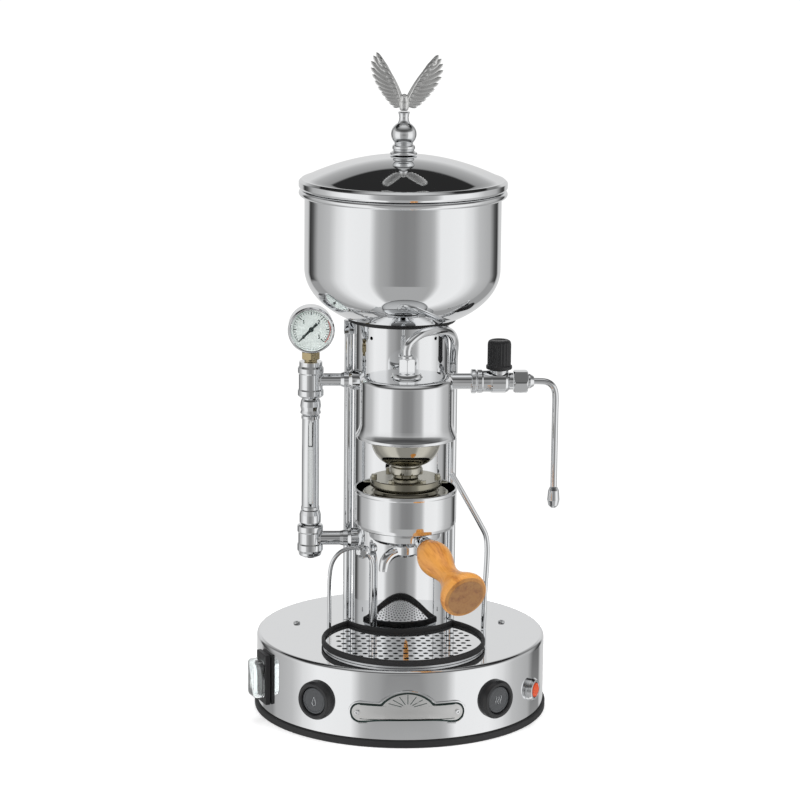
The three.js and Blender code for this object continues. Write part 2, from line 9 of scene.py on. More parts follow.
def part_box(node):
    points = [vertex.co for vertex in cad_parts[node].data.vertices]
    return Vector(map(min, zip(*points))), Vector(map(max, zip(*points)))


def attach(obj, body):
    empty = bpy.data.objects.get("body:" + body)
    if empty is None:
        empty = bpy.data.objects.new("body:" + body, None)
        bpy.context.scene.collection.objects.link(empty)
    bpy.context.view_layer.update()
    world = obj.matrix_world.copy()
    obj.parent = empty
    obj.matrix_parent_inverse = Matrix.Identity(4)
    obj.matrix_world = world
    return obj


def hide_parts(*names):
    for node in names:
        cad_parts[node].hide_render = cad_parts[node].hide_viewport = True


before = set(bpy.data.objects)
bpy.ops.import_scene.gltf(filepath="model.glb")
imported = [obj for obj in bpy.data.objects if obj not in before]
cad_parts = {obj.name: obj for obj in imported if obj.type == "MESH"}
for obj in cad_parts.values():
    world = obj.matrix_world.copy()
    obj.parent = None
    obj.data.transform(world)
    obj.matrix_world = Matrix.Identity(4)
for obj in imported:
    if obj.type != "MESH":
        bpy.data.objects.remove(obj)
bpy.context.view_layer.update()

# Lengths are in millimetres until a piece is made, and every piece is made in metres.
millimetre = 0.001
degree = math.pi / 180

print("camera and studio")
camera = {"distance": 2437, "height": 784.7, "side": -3.11, "pitch": 11.91, "roll": 0.6, "focal": 3.627,
    "shift": -0.0035}


def makeCamera():
    side, pitch = camera["side"] * degree, camera["pitch"] * degree
    place = Vector((math.sin(side), -math.cos(side), 0)) * camera["distance"] + Vector((0, 0, camera["height"]))
    data = bpy.data.cameras.new("camera")
    data.sensor_width = 36
    data.lens = camera["focal"] * data.sensor_width  # focal length as a share of the frame's width
    data.shift_x = camera["shift"]
    data.clip_end = 50
    item = bpy.data.objects.new("camera", data)
    turn = Matrix.Rotation(side, 4, "Z") @ Matrix.Rotation(math.pi / 2 - pitch, 4, "X")
    turn = turn @ Matrix.Rotation(camera["roll"] * degree, 4, "Z")
    item.matrix_world = Matrix.Translation(place * millimetre) @ turn
    bpy.context.scene.collection.objects.link(item)
    bpy.context.scene.camera = item


makeCamera()
bpy.context.scene.view_settings.view_transform = "Standard"


# A small helper for node trees: adds a node, sets its inputs and links sockets given in place of values.
def addNode(tree, kind, inputs=None, **settings):
    node = tree.nodes.new(kind)
    for name, value in settings.items():
        setattr(node, name, value)
    for key, value in (inputs or {}).items():
        if isinstance(value, bpy.types.NodeSocket):
            tree.links.new(value, node.inputs[key])
        else:
            node.inputs[key].default_value = value
    return node


def mathNode(tree, operation, first, second=0.0, third=0.0):
    return addNode(tree, "ShaderNodeMath", {0: first, 1: second, 2: third}, operation=operation).outputs[0]


def mixColours(tree, factor, first, second, blend="MIX"):
    return addNode(tree, "ShaderNodeMix", {"Factor": factor, 6: first, 7: second}, data_type="RGBA",
        blend_type=blend).outputs[2]


def rampNode(tree, value, stops, interpolation="LINEAR"):
    node = addNode(tree, "ShaderNodeValToRGB", {"Fac": value})
    ramp = node.color_ramp
    ramp.interpolation = interpolation
    while len(ramp.elements) < len(stops):
        ramp.elements.new(0.5)
    for element, (place, shade) in zip(ramp.elements, stops):
        element.position = place
        element.color = (*shade, 1) if isinstance(shade, tuple) else (shade, shade, shade, 1)
    return node.outputs["Color"]


def spread(tree, value, low, high, fromLow=0.3, fromHigh=0.7):
    inputs = {"Value": value, "From Min": fromLow, "From Max": fromHigh, "To Min": low, "To Max": high}
    return addNode(tree, "ShaderNodeMapRange", inputs).outputs[0]


studio = {
    # brightness round the machine, from straight in front (0) to straight behind (1)
    "bands": [(0.0, 0.24), (0.06, 0.26), (0.11, 0.36), (0.165, 0.42), (0.19, 0.50), (0.235, 0.90), (0.40, 0.93),
              (0.50, 0.74), (0.60, 0.62), (0.67, 0.55), (0.74, 0.12), (0.79, 0.04), (0.83, 0.75), (1.0, 0.9)],
    # brightness upwards on the camera's side and behind, from the horizon (0) to overhead (1)
    "front": [(0.0, 1.0), (0.30, 0.92), (0.42, 0.30), (0.62, 0.10), (0.80, 0.30), (1.0, 0.8)],
    "behind": [(0.0, 0.80), (0.10, 0.82), (0.30, 0.86), (0.42, 0.55), (0.575, 0.36), (0.60, 0.03), (0.86, 0.03),
               (0.94, 0.45), (1.0, 0.8)],
    "floorLift": 0.42, "backdrop": 1.06, "floorRadius": 420, "floorGlow": 0.42, "overhead": 0.8,
}


# The room is bright bands to the sides, dark by the camera and dark high up behind the machine.
def makeStudio():
    world = bpy.data.worlds.new("studio")
    bpy.context.scene.world = world
    world.use_nodes = True
    tree = world.node_tree
    tree.nodes.clear()
    way = addNode(tree, "ShaderNodeTexCoord").outputs["Generated"]
    split = addNode(tree, "ShaderNodeSeparateXYZ", {"Vector": way}).outputs
    back = mathNode(tree, "MULTIPLY", split[1], -1.0)
    around = mathNode(tree, "ABSOLUTE", mathNode(tree, "ARCTAN2", split[0], back))
    bands = rampNode(tree, mathNode(tree, "DIVIDE", around, math.pi), studio["bands"])
    # well below the horizon the nearby floor is never quite dark
    near = spread(tree, split[2], 1.0, 0.0, -0.32, -0.26)
    lifted = mixColours(tree, near, (0, 0, 0, 1), (studio["floorLift"],) * 3 + (1,))
    bands = mixColours(tree, 1.0, bands, lifted, "LIGHTEN")
    up = mathNode(tree, "MAXIMUM", split[2], 0.0)
    side = spread(tree, split[1], 0.0, 1.0, -0.05, 0.15)
    ceiling = mixColours(tree, side, rampNode(tree, up, studio["front"]), rampNode(tree, up, studio["behind"]))
    # overhead the bands fade out, so that a flat top sees one soft ceiling
    plain = mixColours(tree, up, bands, (*[studio["overhead"]] * 3, 1))
    room = mixColours(tree, 1.0, plain, ceiling, "MULTIPLY")
    seen = addNode(tree, "ShaderNodeLightPath").outputs["Is Camera Ray"]
    inside = addNode(tree, "ShaderNodeBackground", {"Color": room, "Strength": 1.0})
    outside = addNode(tree, "ShaderNodeBackground", {"Color": (1, 1, 1, 1), "Strength": studio["backdrop"]})
    mixed = addNode(tree, "ShaderNodeMixShader", {0: seen, 1: inside.outputs[0], 2: outside.outputs[0]})
    addNode(tree, "ShaderNodeOutputWorld", {"Surface": mixed.outputs[0]})


def softLight(name, place, size, power, target=(0, 0, 0.25)):
    data = bpy.data.lights.new(name, "AREA")
    data.size = size
    data.energy = power
    item = bpy.data.objects.new(name, data)
    item.location = place
    item.rotation_euler = (Vector(target) - Vector(place)).to_track_quat("-Z", "Y").to_euler()
    item.visible_glossy = False
    bpy.context.scene.collection.objects.link(item)


makeStudio()
softLight("light.left", (-1.1, -1.3, 1.5), 0.9, 22)
softLight("light.right", (1.3, -0.9, 1.2), 0.9, 14)
softLight("light.top", (0.1, 0.5, 1.9), 1.2, 18)


# Profile of [radius, height] corners, bottom to top along the outside. A corner with a third value is
# rounded to that radius: the arc touches both straight sides at radius / tan(half the corner's angle).
def roundedProfile(corners, steps=5, closed=False):
    spots = [np.array(corner[:2], float) for corner in corners]
    count = len(spots)
    path = []
    for index, corner in enumerate(corners):
        inner = closed or 0 < index < count - 1
        if len(corner) < 3 or not inner:
            path.append(spots[index])
            continue
        before, here, after = spots[index - 1], spots[index], spots[(index + 1) % count]
        toBefore, toAfter = before - here, after - here
        lengths = np.linalg.norm(toBefore), np.linalg.norm(toAfter)
        toBefore, toAfter = toBefore / lengths[0], toAfter / lengths[1]
        half = math.acos(np.clip(toBefore @ toAfter, -1, 1)) / 2
        reach = min(corner[2] / math.tan(half), 0.45 * lengths[0], 0.45 * lengths[1])
        radius = reach * math.tan(half)
        middle = here + (toBefore + toAfter) / np.linalg.norm(toBefore + toAfter) * radius / math.sin(half)
        first, last = here + toBefore * reach, here + toAfter * reach
        start, end = first - middle, last - middle
        sweep = math.atan2(start[0] * end[1] - start[1] * end[0], start @ end)
        angles = np.linspace(0, sweep, steps + 1)[:, None]
        turned = start * np.cos(angles) + np.array([-start[1], start[0]]) * np.sin(angles)
        path.append(first + toBefore * min(0.2 * reach, 0.1 * lengths[0]))
        path.extend(middle + turned)
        path.append(last + toAfter * min(0.2 * reach, 0.1 * lengths[1]))
    return np.array(path)


# Points on an ellipse arc: centre + (a cos t, b sin t), t in degrees.
def ellipseArc(centre, radii, start, end, steps):
    angle = np.linspace(start, end, steps + 1) * degree
    return np.stack([centre[0] + radii[0] * np.cos(angle), centre[1] + radii[1] * np.sin(angle)], 1)


# Smooth curve through points: Catmull-Rom, p(t) = 0.5 (2b + (c-a)t + (2a-5b+4c-d)t2 + (3b-a-3c+d)t3).
def smoothCurve(points, steps=10):
    spots = np.array(points, float)
    ends = np.vstack([2 * spots[0] - spots[1], spots, 2 * spots[-1] - spots[-2]])
    a, b, c, d = ends[:-3, None], ends[1:-2, None], ends[2:-1, None], ends[3:, None]
    t = np.linspace(0, 1, steps, endpoint=False)[None, :, None]
    curve = 0.5 * (2 * b + (c - a) * t + (2 * a - 5 * b + 4 * c - d) * t**2 + (3 * b - a - 3 * c + d) * t**3)
    return np.vstack([curve.reshape(-1, spots.shape[1]), spots[-1]])


# Quads between the rows of a grid of points; rows run along the profile and columns run round it.
def gridFaces(rows, columns, wrapRows=False, wrapColumns=True):
    i = np.arange(rows if wrapRows else rows - 1)[:, None]
    j = np.arange(columns if wrapColumns else columns - 1)[None, :]
    nextI, nextJ = (i + 1) % rows, (j + 1) % columns
    corners = [i * columns + j, i * columns + nextJ, nextI * columns + nextJ, nextI * columns + j]
    return np.stack([np.broadcast_to(c, (i.size, j.size)).ravel() for c in corners], 1).tolist()


# A grid of points closed round its columns; a first or last row that is a single spot becomes a pole.
def closedGrid(grid, wrapRows=False):
    rows, columns, _ = grid.shape
    if wrapRows:
        return grid.reshape(-1, 3), gridFaces(rows, columns, True)
    flat = [np.ptp(grid[row], axis=0).max() < 1e-6 for row in (0, -1)]
    body = grid[int(flat[0]):rows - int(flat[1])]
    count = len(body)
    points = body.reshape(-1, 3)
    faces = gridFaces(count, columns)
    around = np.arange(columns)
    following = (around + 1) % columns
    for end, isFlat in enumerate(flat):
        start = 0 if end == 0 else (count - 1) * columns
        edge = (start + following, start + around) if end == 0 else (start + around, start + following)
        if isFlat:
            points = np.vstack([points, grid[0 if end == 0 else -1, 0]])
            pole = np.full(columns, len(points) - 1)
            faces += np.stack([edge[0], edge[1], pole], 1).tolist()
        else:
            faces.append((start + (around[::-1] if end == 0 else around)).tolist())
    return points, faces


# Revolved surface: x = r cos a, y = r sin a, z = h.
def revolve(profile, sides=96, closed=False):
    profile = np.asarray(profile, float)
    angle = np.arange(sides) * 2 * math.pi / sides
    r, h = profile[:, 0, None], profile[:, 1, None]
    grid = np.stack([r * np.cos(angle), r * np.sin(angle), h + 0 * angle], 2)
    return closedGrid(grid, closed)


def lathe(corners, sides=96, steps=5, closed=False):
    return revolve(roundedProfile(corners, steps, closed), sides, closed)


def roundTube(inner, outer, bottom, top, edge=0.4, sides=96):
    return lathe([(inner, bottom, edge), (outer, bottom, edge), (outer, top, edge), (inner, top, edge)], sides, 3,
        True)


def rod(radius, low, high, sides=48):
    return revolve([(0, low), (radius, low), (radius, high), (0, high)], sides)


# Tube along a path: point + radius (cos a side + sin a up), with side and up carried along without twist.
def sweep(path, radius, sides=24, squash=1.0):
    path = np.asarray(path, float)
    ahead = np.gradient(path, axis=0)
    ahead /= np.linalg.norm(ahead, axis=1)[:, None]
    side = np.cross(ahead[0], (0, 0, 1))
    if np.linalg.norm(side) < 0.1:
        side = np.cross(ahead[0], (1, 0, 0))
    sideways = []
    for way in ahead:
        side = side - way * (side @ way)
        side = side / np.linalg.norm(side)
        sideways.append(side)
    sideways = np.array(sideways)
    upward = np.cross(sideways, ahead)
    angle = np.arange(sides)[None, :, None] * 2 * math.pi / sides
    wide = np.broadcast_to(np.asarray(radius, float), (len(path),))[:, None, None]
    grid = path[:, None] + wide * (np.cos(angle) * sideways[:, None] + squash * np.sin(angle) * upward[:, None])
    return closedGrid(grid[:, ::-1])


# Hexagonal nut with chamfered corners: r(a, h) = the smaller of flat / cos(a folded to 60 degrees) and the cone.
def hexNut(acrossFlats, bottom, top, chamfer=1.0, columns=96, turn=0.0):
    angle = np.arange(columns) * 2 * math.pi / columns + turn
    flat = acrossFlats / 2 / np.cos((angle + math.pi / 6) % (math.pi / 3) - math.pi / 6)
    corner = acrossFlats / math.sqrt(3)
    edge = [(0, bottom), (acrossFlats / 2 - 0.2, bottom), (corner, bottom + chamfer), (corner, top - chamfer),
        (acrossFlats / 2 - 0.2, top), (0, top)]
    cone = []
    for (r1, h1), (r2, h2) in zip(edge, edge[1:]):
        cone += [(r1 + (r2 - r1) * t, h1 + (h2 - h1) * t) for t in np.linspace(0, 1, 6, endpoint=False)]
    cone = np.array(cone + [edge[-1]])
    r = np.minimum(cone[:, 0, None], flat[None, :] * 0.995)
    grid = np.stack([r * np.cos(angle), r * np.sin(angle), cone[:, 1, None] + 0 * angle], 2)
    return closedGrid(grid)


# Upright prism over a flat outline.
def prism(outline, bottom, top):
    outline = np.asarray(outline, float)
    return closedGrid(np.array([np.insert(outline, 2, level, 1) for level in (bottom, top)]))


# A box from its lowest to its highest corner; a bevel on its piece rounds the edges.
def boxShape(low, high):
    (x1, y1, z1), (x2, y2, z2) = low, high
    return prism([(x1, y1), (x2, y1), (x2, y2), (x1, y2)], z1, z2)


def rotation(axis, angle):
    return np.array(Matrix.Rotation(angle * degree, 3, axis))


def moved(shape, offset=(0, 0, 0), turn=None):
    points = shape[0] if turn is None else shape[0] @ turn.T
    return points + np.array(offset, float), shape[1]


# Lays an upright shape down so that its top faces the front, -Y.
def facingFront(shape):
    return moved(shape, turn=rotation("X", 90))


def joined(*shapes):
    points, faces, start = [], [], 0
    for spots, sides in shapes:
        points.append(spots)
        faces += [[corner + start for corner in face] for face in sides]
        start += len(spots)
    return np.vstack(points), faces


def meshObject(name, shape, scale=1.0):
    mesh = bpy.data.meshes.new(name)
    mesh.from_pydata((shape[0] * scale).tolist(), [], shape[1])
    mesh.update()
    item = bpy.data.objects.new(name, mesh)
    bpy.context.scene.collection.objects.link(item)
    return item


# A shape with other closed shapes cut out of it.
def carved(shape, *cutters):
    base, tool = meshObject("carve.base", shape), meshObject("carve.tool", joined(*cutters))
    cut = base.modifiers.new("cut", "BOOLEAN")
    cut.object, cut.solver, cut.operation = tool, "EXACT", "DIFFERENCE"
    mesh = bpy.data.meshes.new_from_object(base.evaluated_get(bpy.context.evaluated_depsgraph_get()))
    points = np.empty(len(mesh.vertices) * 3)
    mesh.vertices.foreach_get("co", points)
    faces = [list(face.vertices) for face in mesh.polygons]
    for item in (base, tool):
        bpy.data.objects.remove(item)
    return points.reshape(-1, 3), faces


# Makes a finished piece: smooth shading with creases, its body, and the CAD node it stands for hidden. The node is
# the one with the piece's own name, basePan for base_pan, unless it is given; the slot, the finish's own unless
# given, is worked out but not used.
def makePiece(name, shape, finish, body="machine", node=None, slot=None, crease=32, bevel=0.0):
    item = meshObject(name, shape, millimetre)
    item.data.materials.append(finish)
    item.data.shade_smooth()
    item.data.set_sharp_from_angle(angle=crease * degree)
    if bevel:
        edge = item.modifiers.new("edges", "BEVEL")
        edge.width, edge.segments, edge.limit_method, edge.angle_limit = bevel * millimetre, 3, "ANGLE", 30 * degree
        edge.harden_normals = True
    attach(item, body)
    node = node or re.sub("([A-Z])", r"_\1", name).lower()
    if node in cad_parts:
        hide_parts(node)
    slot = slot or slots.get(finish.name.split(".")[0])  # a name that was taken has a number after a dot


# Where a CAD node stands, in millimetres: its middle, and its lowest and highest corners.
def place(node):
    low, high = (np.array(corner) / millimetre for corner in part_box(node))
    return (low + high) / 2, low, high


print("finishes")
slots = {"chrome": "chrome", "cast plating": "chrome", "warm nickel": "nickel", "shaded nickel": "nickel",
    "plain brass": "brass", "neck brass": "brass", "satin steel": "steel", "black rubber": "rubber",
    "black plastic": "black_plastic", "button plastic": "button_grey", "pale ink": "button_grey",
    "lamp lens": "lamp_orange", "clear boot": "clear_plastic", "clear glass": "clear_plastic",
    "glowing dial enamel": "dial", "red ink": "dial", "green ink": "dial", "handle wood": "wood"}


def newFinish(name, colour, rough, metal=0.0, **extra):
    item = bpy.data.materials.new(name)
    item.use_nodes = True
    tree = item.node_tree
    shader = tree.nodes["Principled BSDF"]
    shader.inputs["Base Color"].default_value = (*colour, 1)
    shader.inputs["Roughness"].default_value = rough
    shader.inputs["Metallic"].default_value = metal
    for key, value in extra.items():
        shader.inputs[key.replace("_", " ")].default_value = value
    return item, tree, shader


# Noise in object space. Stretch says how many times longer its features are along each turned axis.
def objectNoise(tree, scale, detail=3.0, stretch=(1, 1, 1), turn=(0, 0, 0)):
    place = addNode(tree, "ShaderNodeTexCoord").outputs["Object"]
    place = addNode(tree, "ShaderNodeMapping", {"Vector": place, "Rotation": turn, "Scale": stretch},
        vector_type="TEXTURE").outputs[0]
    return addNode(tree, "ShaderNodeTexNoise", {"Vector": place, "Scale": scale, "Detail": detail}).outputs[0]


def addBump(tree, shader, height, strength, depth):
    bump = addNode(tree, "ShaderNodeBump", {"Height": height, "Strength": strength, "Distance": depth})
    tree.links.new(bump.outputs[0], shader.inputs["Normal"])


# Polished plate: faint smears in the gloss and a very slight waviness from polishing.
def polishedMetal(name, colour, rough=0.03, smear=0.05, wave=0.02):
    item, tree, shader = newFinish(name, colour, rough, 1.0)
    smears = objectNoise(tree, 45, 5, (1, 1, 0.4))
    tree.links.new(spread(tree, smears, rough, rough + smear, 0.45, 0.8), shader.inputs["Roughness"])
    addBump(tree, shader, objectNoise(tree, 22, 1), wave, 0.002)
    return item


# Sheet metal brushed along one way: long thin scratches in gloss and height.
def brushedMetal(name, colour, rough=0.25, stretch=(40, 1, 1)):
    item, tree, shader = newFinish(name, colour, rough, 1.0)
    scratches = objectNoise(tree, 90, 4, stretch)
    tree.links.new(spread(tree, scratches, rough - 0.08, rough + 0.15), shader.inputs["Roughness"])
    addBump(tree, shader, scratches, 0.08, 0.0004)
    return item


# Moulded plastic or rubber: a fine pebbled grain and a little dust in the gloss.
def moulded(name, colour, rough, grain=900, depth=0.12, **extra):
    item, tree, shader = newFinish(name, colour, rough, 0.0, **extra)
    dust = objectNoise(tree, 60, 4)
    tree.links.new(spread(tree, dust, rough - 0.06, rough + 0.1), shader.inputs["Roughness"])
    shade = mixColours(tree, dust, (*[c * 0.8 for c in colour], 1), (*[c * 1.35 for c in colour], 1))
    tree.links.new(shade, shader.inputs["Base Color"])
    addBump(tree, shader, objectNoise(tree, grain, 2), depth, 0.0003)
    return item


def clearFinish(name, colour, rough, index=1.47):
    item, tree, shader = newFinish(name, colour, rough, 0.0, Transmission_Weight=1.0, IOR=index)
    tree.links.new(spread(tree, objectNoise(tree, 80, 3), rough, rough + 0.04), shader.inputs["Roughness"])
    return item


wood = {"light": (0.76, 0.345, 0.075), "middle": (0.62, 0.25, 0.048), "dark": (0.40, 0.135, 0.022), "gloss": 0.30,
    "endShade": 0.42}


# Oiled hardwood: streaks are noise drawn out along the handle over a broader figure, and the end face is darker,
# partly as real end grain and partly as painted shade for the dark reflection it catches.
def oiledWood(name, turn, ahead):
    item, tree, shader = newFinish(name, wood["middle"], wood["gloss"], 0.0, Coat_Weight=0.35, Coat_Roughness=0.12)
    fine = objectNoise(tree, 700, 6, (1, 30, 1), turn)
    broad = objectNoise(tree, 170, 3, (1, 12, 1), turn)
    blend = mathNode(tree, "ADD", mathNode(tree, "MULTIPLY", fine, 0.35), mathNode(tree, "MULTIPLY", broad, 0.65))
    colours = rampNode(tree, blend, [(0.30, wood["dark"]), (0.42, wood["middle"]), (0.55, wood["light"]),
        (0.70, wood["middle"])])
    facing = addNode(tree, "ShaderNodeVectorMath", {0: addNode(tree, "ShaderNodeNewGeometry").outputs["Normal"],
        1: ahead}, operation="DOT_PRODUCT").outputs["Value"]
    # Faces along the handle are darkened: partly real end grain, partly painted shade for the dark reflection on the
    # end face.
    endGrainAndShade = spread(tree, facing, 1.0, wood["endShade"], 0.80, 0.97)
    tree.links.new(mixColours(tree, 1.0, colours, endGrainAndShade, "MULTIPLY"), shader.inputs["Base Color"])
    tree.links.new(spread(tree, fine, wood["gloss"], wood["gloss"] + 0.16), shader.inputs["Roughness"])
    addBump(tree, shader, fine, 0.08, 0.0003)
    return item


chrome = polishedMetal("chrome", (0.88, 0.89, 0.90))
warmNickel = polishedMetal("warm nickel", (0.56, 0.54, 0.47), 0.06, 0.08)
# Painted shade: a darker copy of the nickel plating for the group head, which sits under the group body inside the
# bell.
shadedNickel = polishedMetal("shaded nickel", (0.37, 0.35, 0.28), 0.10, 0.08)
castPlating = brushedMetal("cast plating", (0.80, 0.80, 0.79), 0.24, (1, 1, 3))
plainBrass = brushedMetal("plain brass", (0.60, 0.42, 0.22), 0.3)
neckBrass = brushedMetal("neck brass", (0.50, 0.41, 0.24), 0.24)
satinSteel = brushedMetal("satin steel", (0.72, 0.73, 0.74), 0.16)
plateSatin = brushedMetal("plate satin", (0.88, 0.88, 0.87), 0.46, (40, 40, 1))
blackRubber = moulded("black rubber", (0.016, 0.016, 0.017), 0.55, 700)
blackPlastic = moulded("black plastic", (0.014, 0.014, 0.015), 0.34)
buttonPlastic = moulded("button plastic", (0.055, 0.058, 0.062), 0.38)
lampPlastic = moulded("lamp lens", (0.80, 0.10, 0.025), 0.12, 200, 0.02, Transmission_Weight=0.25)
clearPlastic = clearFinish("clear boot", (0.93, 0.96, 0.96), 0.08)
clearGlass = clearFinish("clear glass", (0.98, 0.99, 0.99), 0.01)
# Painted light: the dial's emission makes the white enamel glow, though the gauge holds no lamp.
dialEnamelGlow = moulded("glowing dial enamel", (0.72, 0.74, 0.72), 0.5, 400, 0.02, Emission_Color=(0.9, 1.0, 0.96, 1),
    Emission_Strength=0.4)
blackInk = moulded("black ink", (0.012, 0.03, 0.026), 0.5, 500, 0.02)
redInk = moulded("red ink", (0.60, 0.10, 0.09), 0.5, 500, 0.02)
greenInk = moulded("green ink", (0.10, 0.42, 0.24), 0.5, 500, 0.02)
paleInk = moulded("pale ink", (0.82, 0.84, 0.86), 0.5, 500, 0.02)

print("base")
# Heights and radii are measured from the middle of the underside of the base.
drumLow, drumHigh = place("base_drum")[1:]
drumRadius, drumTop = (drumHigh[1] - drumLow[1]) / 2, drumHigh[2]
columnY, groupY = place("column_sleeve")[0][1], place("group_bell")[0][1]
tray = {"middle": -48.0, "corners": 96, "well": (66.6, 52.4)}


# Crescent outline: an arc of the tray's circle, closed by an arc about the column.
def crescent(outer, inner, count=tray["corners"]):
    apart = columnY - tray["middle"]
    outerHalf = math.acos((apart**2 + outer**2 - inner**2) / (2 * apart * outer))
    innerHalf = math.acos((apart**2 + inner**2 - outer**2) / (2 * apart * inner))
    t = np.linspace(math.pi / 2 + outerHalf, 2.5 * math.pi - outerHalf, count, endpoint=False)
    u = np.linspace(innerHalf - math.pi / 2, -innerHalf - math.pi / 2, count // 3, endpoint=False)
    front = np.stack([outer * np.cos(t), tray["middle"] + outer * np.sin(t)], 1)
    back = np.stack([inner * np.cos(u), columnY + inner * np.sin(u)], 1)
    return np.vstack([front, back])


# Crescents stacked as [outer radius, inner radius, height] levels.
def crescentLoft(levels, closed=False):
    return closedGrid(np.array([np.insert(crescent(outer, inner), 2, height, 1)
        for outer, inner, height in levels]), closed)


# Turns a shape made facing the front so that it faces out of the base's wall at that angle, at that height.
def onWall(shape, angle, height):
    return moved(moved(shape, (0, 0, height)), turn=rotation("Z", angle))


def onSwitch(shape):
    return onWall(shape, wall["switchTurn"], wall["switchHeight"])


def onLamp(shape):
    return onWall(facingFront(shape), wall["lampTurn"], wall["lampHeight"])


def onColumn(shape):
    return moved(shape, (0, columnY, 0))


def underGroup(shape):
    return moved(shape, (0, groupY, 0))


def makePan():
    panRadius = place("base_pan")[2][1]
    corners = [(0, 0), (panRadius, 0, 1.2), (panRadius, 5.7, 0.7), (126.2, 6.5, 0.3), (121, 6.5), (121, 3), (0, 3)]
    makePiece("basePan", lathe(corners, 192), blackRubber)


wall = {"thickness": 1.5, "fillet": 3.2, "buttonTurn": 36.9, "buttonHeight": 34.5, "lampTurn": 60.0,
    "lampHeight": 31.0, "switchTurn": -70.0, "switchHeight": 37.0, "screwSpot": (90, 20), "holes": (13.4, 7.4)}


def makeDrum():
    inside, roof = drumRadius - wall["thickness"], drumTop - wall["thickness"]
    corners = [(0, roof), (inside, roof, 2), (inside, drumLow[2]), (drumRadius, drumLow[2]),
        (drumRadius, drumTop, wall["fillet"]), (0, drumTop)]
    drum = lathe(corners, 256, 8)
    hole, lampHole = (rod(radius, 100, 140) for radius in wall["holes"])
    cutters = [onWall(facingFront(hole), turn, wall["buttonHeight"])
        for turn in (-wall["buttonTurn"], wall["buttonTurn"])]
    cutters += [onLamp(lampHole), onSwitch(boxShape((-8, -140, -14), (8, -110, 14))),
        boxShape((-14.3, 110, 21.7), (14.3, 140, 42.3)), prism(crescent(*tray["well"]), drumTop - 5, drumTop + 5)]
    makePiece("baseDrum", carved(drum, *cutters), chrome)


# Small domed screw with a hexagon socket.
def socketScrew(radius, height):
    head = lathe([(0, 0), (radius, 0, 0.2), (radius * 0.9, height, 0.5), (0, height)], 48)
    return carved(head, hexNut(radius * 0.9, height * 0.35, height + 1, 0.1, 24))


def makeTray():
    pan = [(60, 58, 46.3), (65.8, 53.2, 46.6), (65.8, 53.2, 66.6), (69, 51, 66.6), (69, 51, 68.2),
        (64.4, 54.6, 68.2), (64.4, 54.6, 47.9), (60, 58, 47.7)]
    makePiece("dripTray", crescentLoft(pan), satinSteel, "tray_body")
    rim = [(70, 50, 68.5), (70, 50, 72.3), (69.5, 50.5, 73.2), (68.9, 51.1, 73.5), (67.9, 52.1, 73.5),
        (67.3, 52.7, 73.1), (67, 53, 72.4), (67, 53, 68.5)]
    makePiece("trayRim", crescentLoft(rim, True), blackRubber, "tray_body", crease=50)


grille = {"outer": 66.4, "inner": 53.6, "bottom": 68.5, "top": 70.0, "pitch": 8.5, "hole": 2.3, "margin": 7.0}


# A flat slab: its face is split into triangles that keep the edges of every loop, those that the test drops are
# left out, and walls close it along the loops. The first loop is the outside and the others are holes.
def slab(spots, loops, low, high, mode, test=None):
    edges = [(a, b) for loop in loops for a, b in zip(loop.tolist(), np.roll(loop, -1).tolist())]
    flat, _, sheet, _, _, _ = delaunay_2d_cdt([Vector(spot) for spot in spots.tolist()], edges, [], mode, 1e-5)
    flat = np.array(flat)
    count = len(flat)
    sheet = [list(face) for face in sheet]
    if test:
        sheet = [face for face, kept in zip(sheet, test(np.array([flat[face].mean(0) for face in sheet]))) if kept]
    faces = sheet + [[corner + count for corner in face[::-1]] for face in sheet]
    for number, loop in enumerate(loops):
        here = loop[::-1] if number else loop
        following = np.roll(here, -1)
        faces += np.stack([here + count, following + count, following, here], 1).tolist()
    return np.vstack([np.insert(flat, 2, level, 1) for level in (high, low)]), faces


# Plate over an outline with round holes. The bite is the curve that the column takes out of it.
def perforatedPlate(outline, centres, radius, bottom, top, bite, sides=16):
    angle = np.arange(sides) * 2 * math.pi / sides
    ring = np.stack([np.cos(angle), np.sin(angle)], 1) * radius
    spots = np.vstack([outline] + [centre + ring for centre in centres])
    loops = [np.arange(len(outline))]
    loops += [len(outline) + index * sides + np.arange(sides) for index in range(len(centres))]

    def solid(middles):
        gaps = np.linalg.norm(middles[:, None] - np.array(centres)[None], axis=2).min(1)
        return (gaps > radius * 0.985) & (np.hypot(middles[:, 0], middles[:, 1] - columnY) > bite)

    return slab(spots, loops, bottom, top, 0, solid)


def makeGrille():
    pitch = grille["pitch"]
    row, number = np.mgrid[-7:8, -8:9]
    x = (number + 0.5 * (row % 2)) * pitch
    y = tray["middle"] - 22 + row * pitch * math.sqrt(3) / 2
    fits = np.hypot(x, y - tray["middle"]) < grille["outer"] - grille["margin"]
    fits &= np.hypot(x, y - columnY) > grille["inner"] + grille["margin"]
    centres = np.stack([x[fits], y[fits]], 1)
    plate = perforatedPlate(crescent(grille["outer"], grille["inner"]), centres, grille["hole"], grille["bottom"],
        grille["top"], grille["inner"])
    makePiece("dripGrille", plate, chrome, "grille_body")


makePan()
makeDrum()
makeTray()
makeGrille()

print("front of the base")
plate = {"half": 50.0, "bottom": 19.5, "top": 39.5, "crest": 50.0, "crestHalf": 24, "border": 1.5, "groove": 3.0}


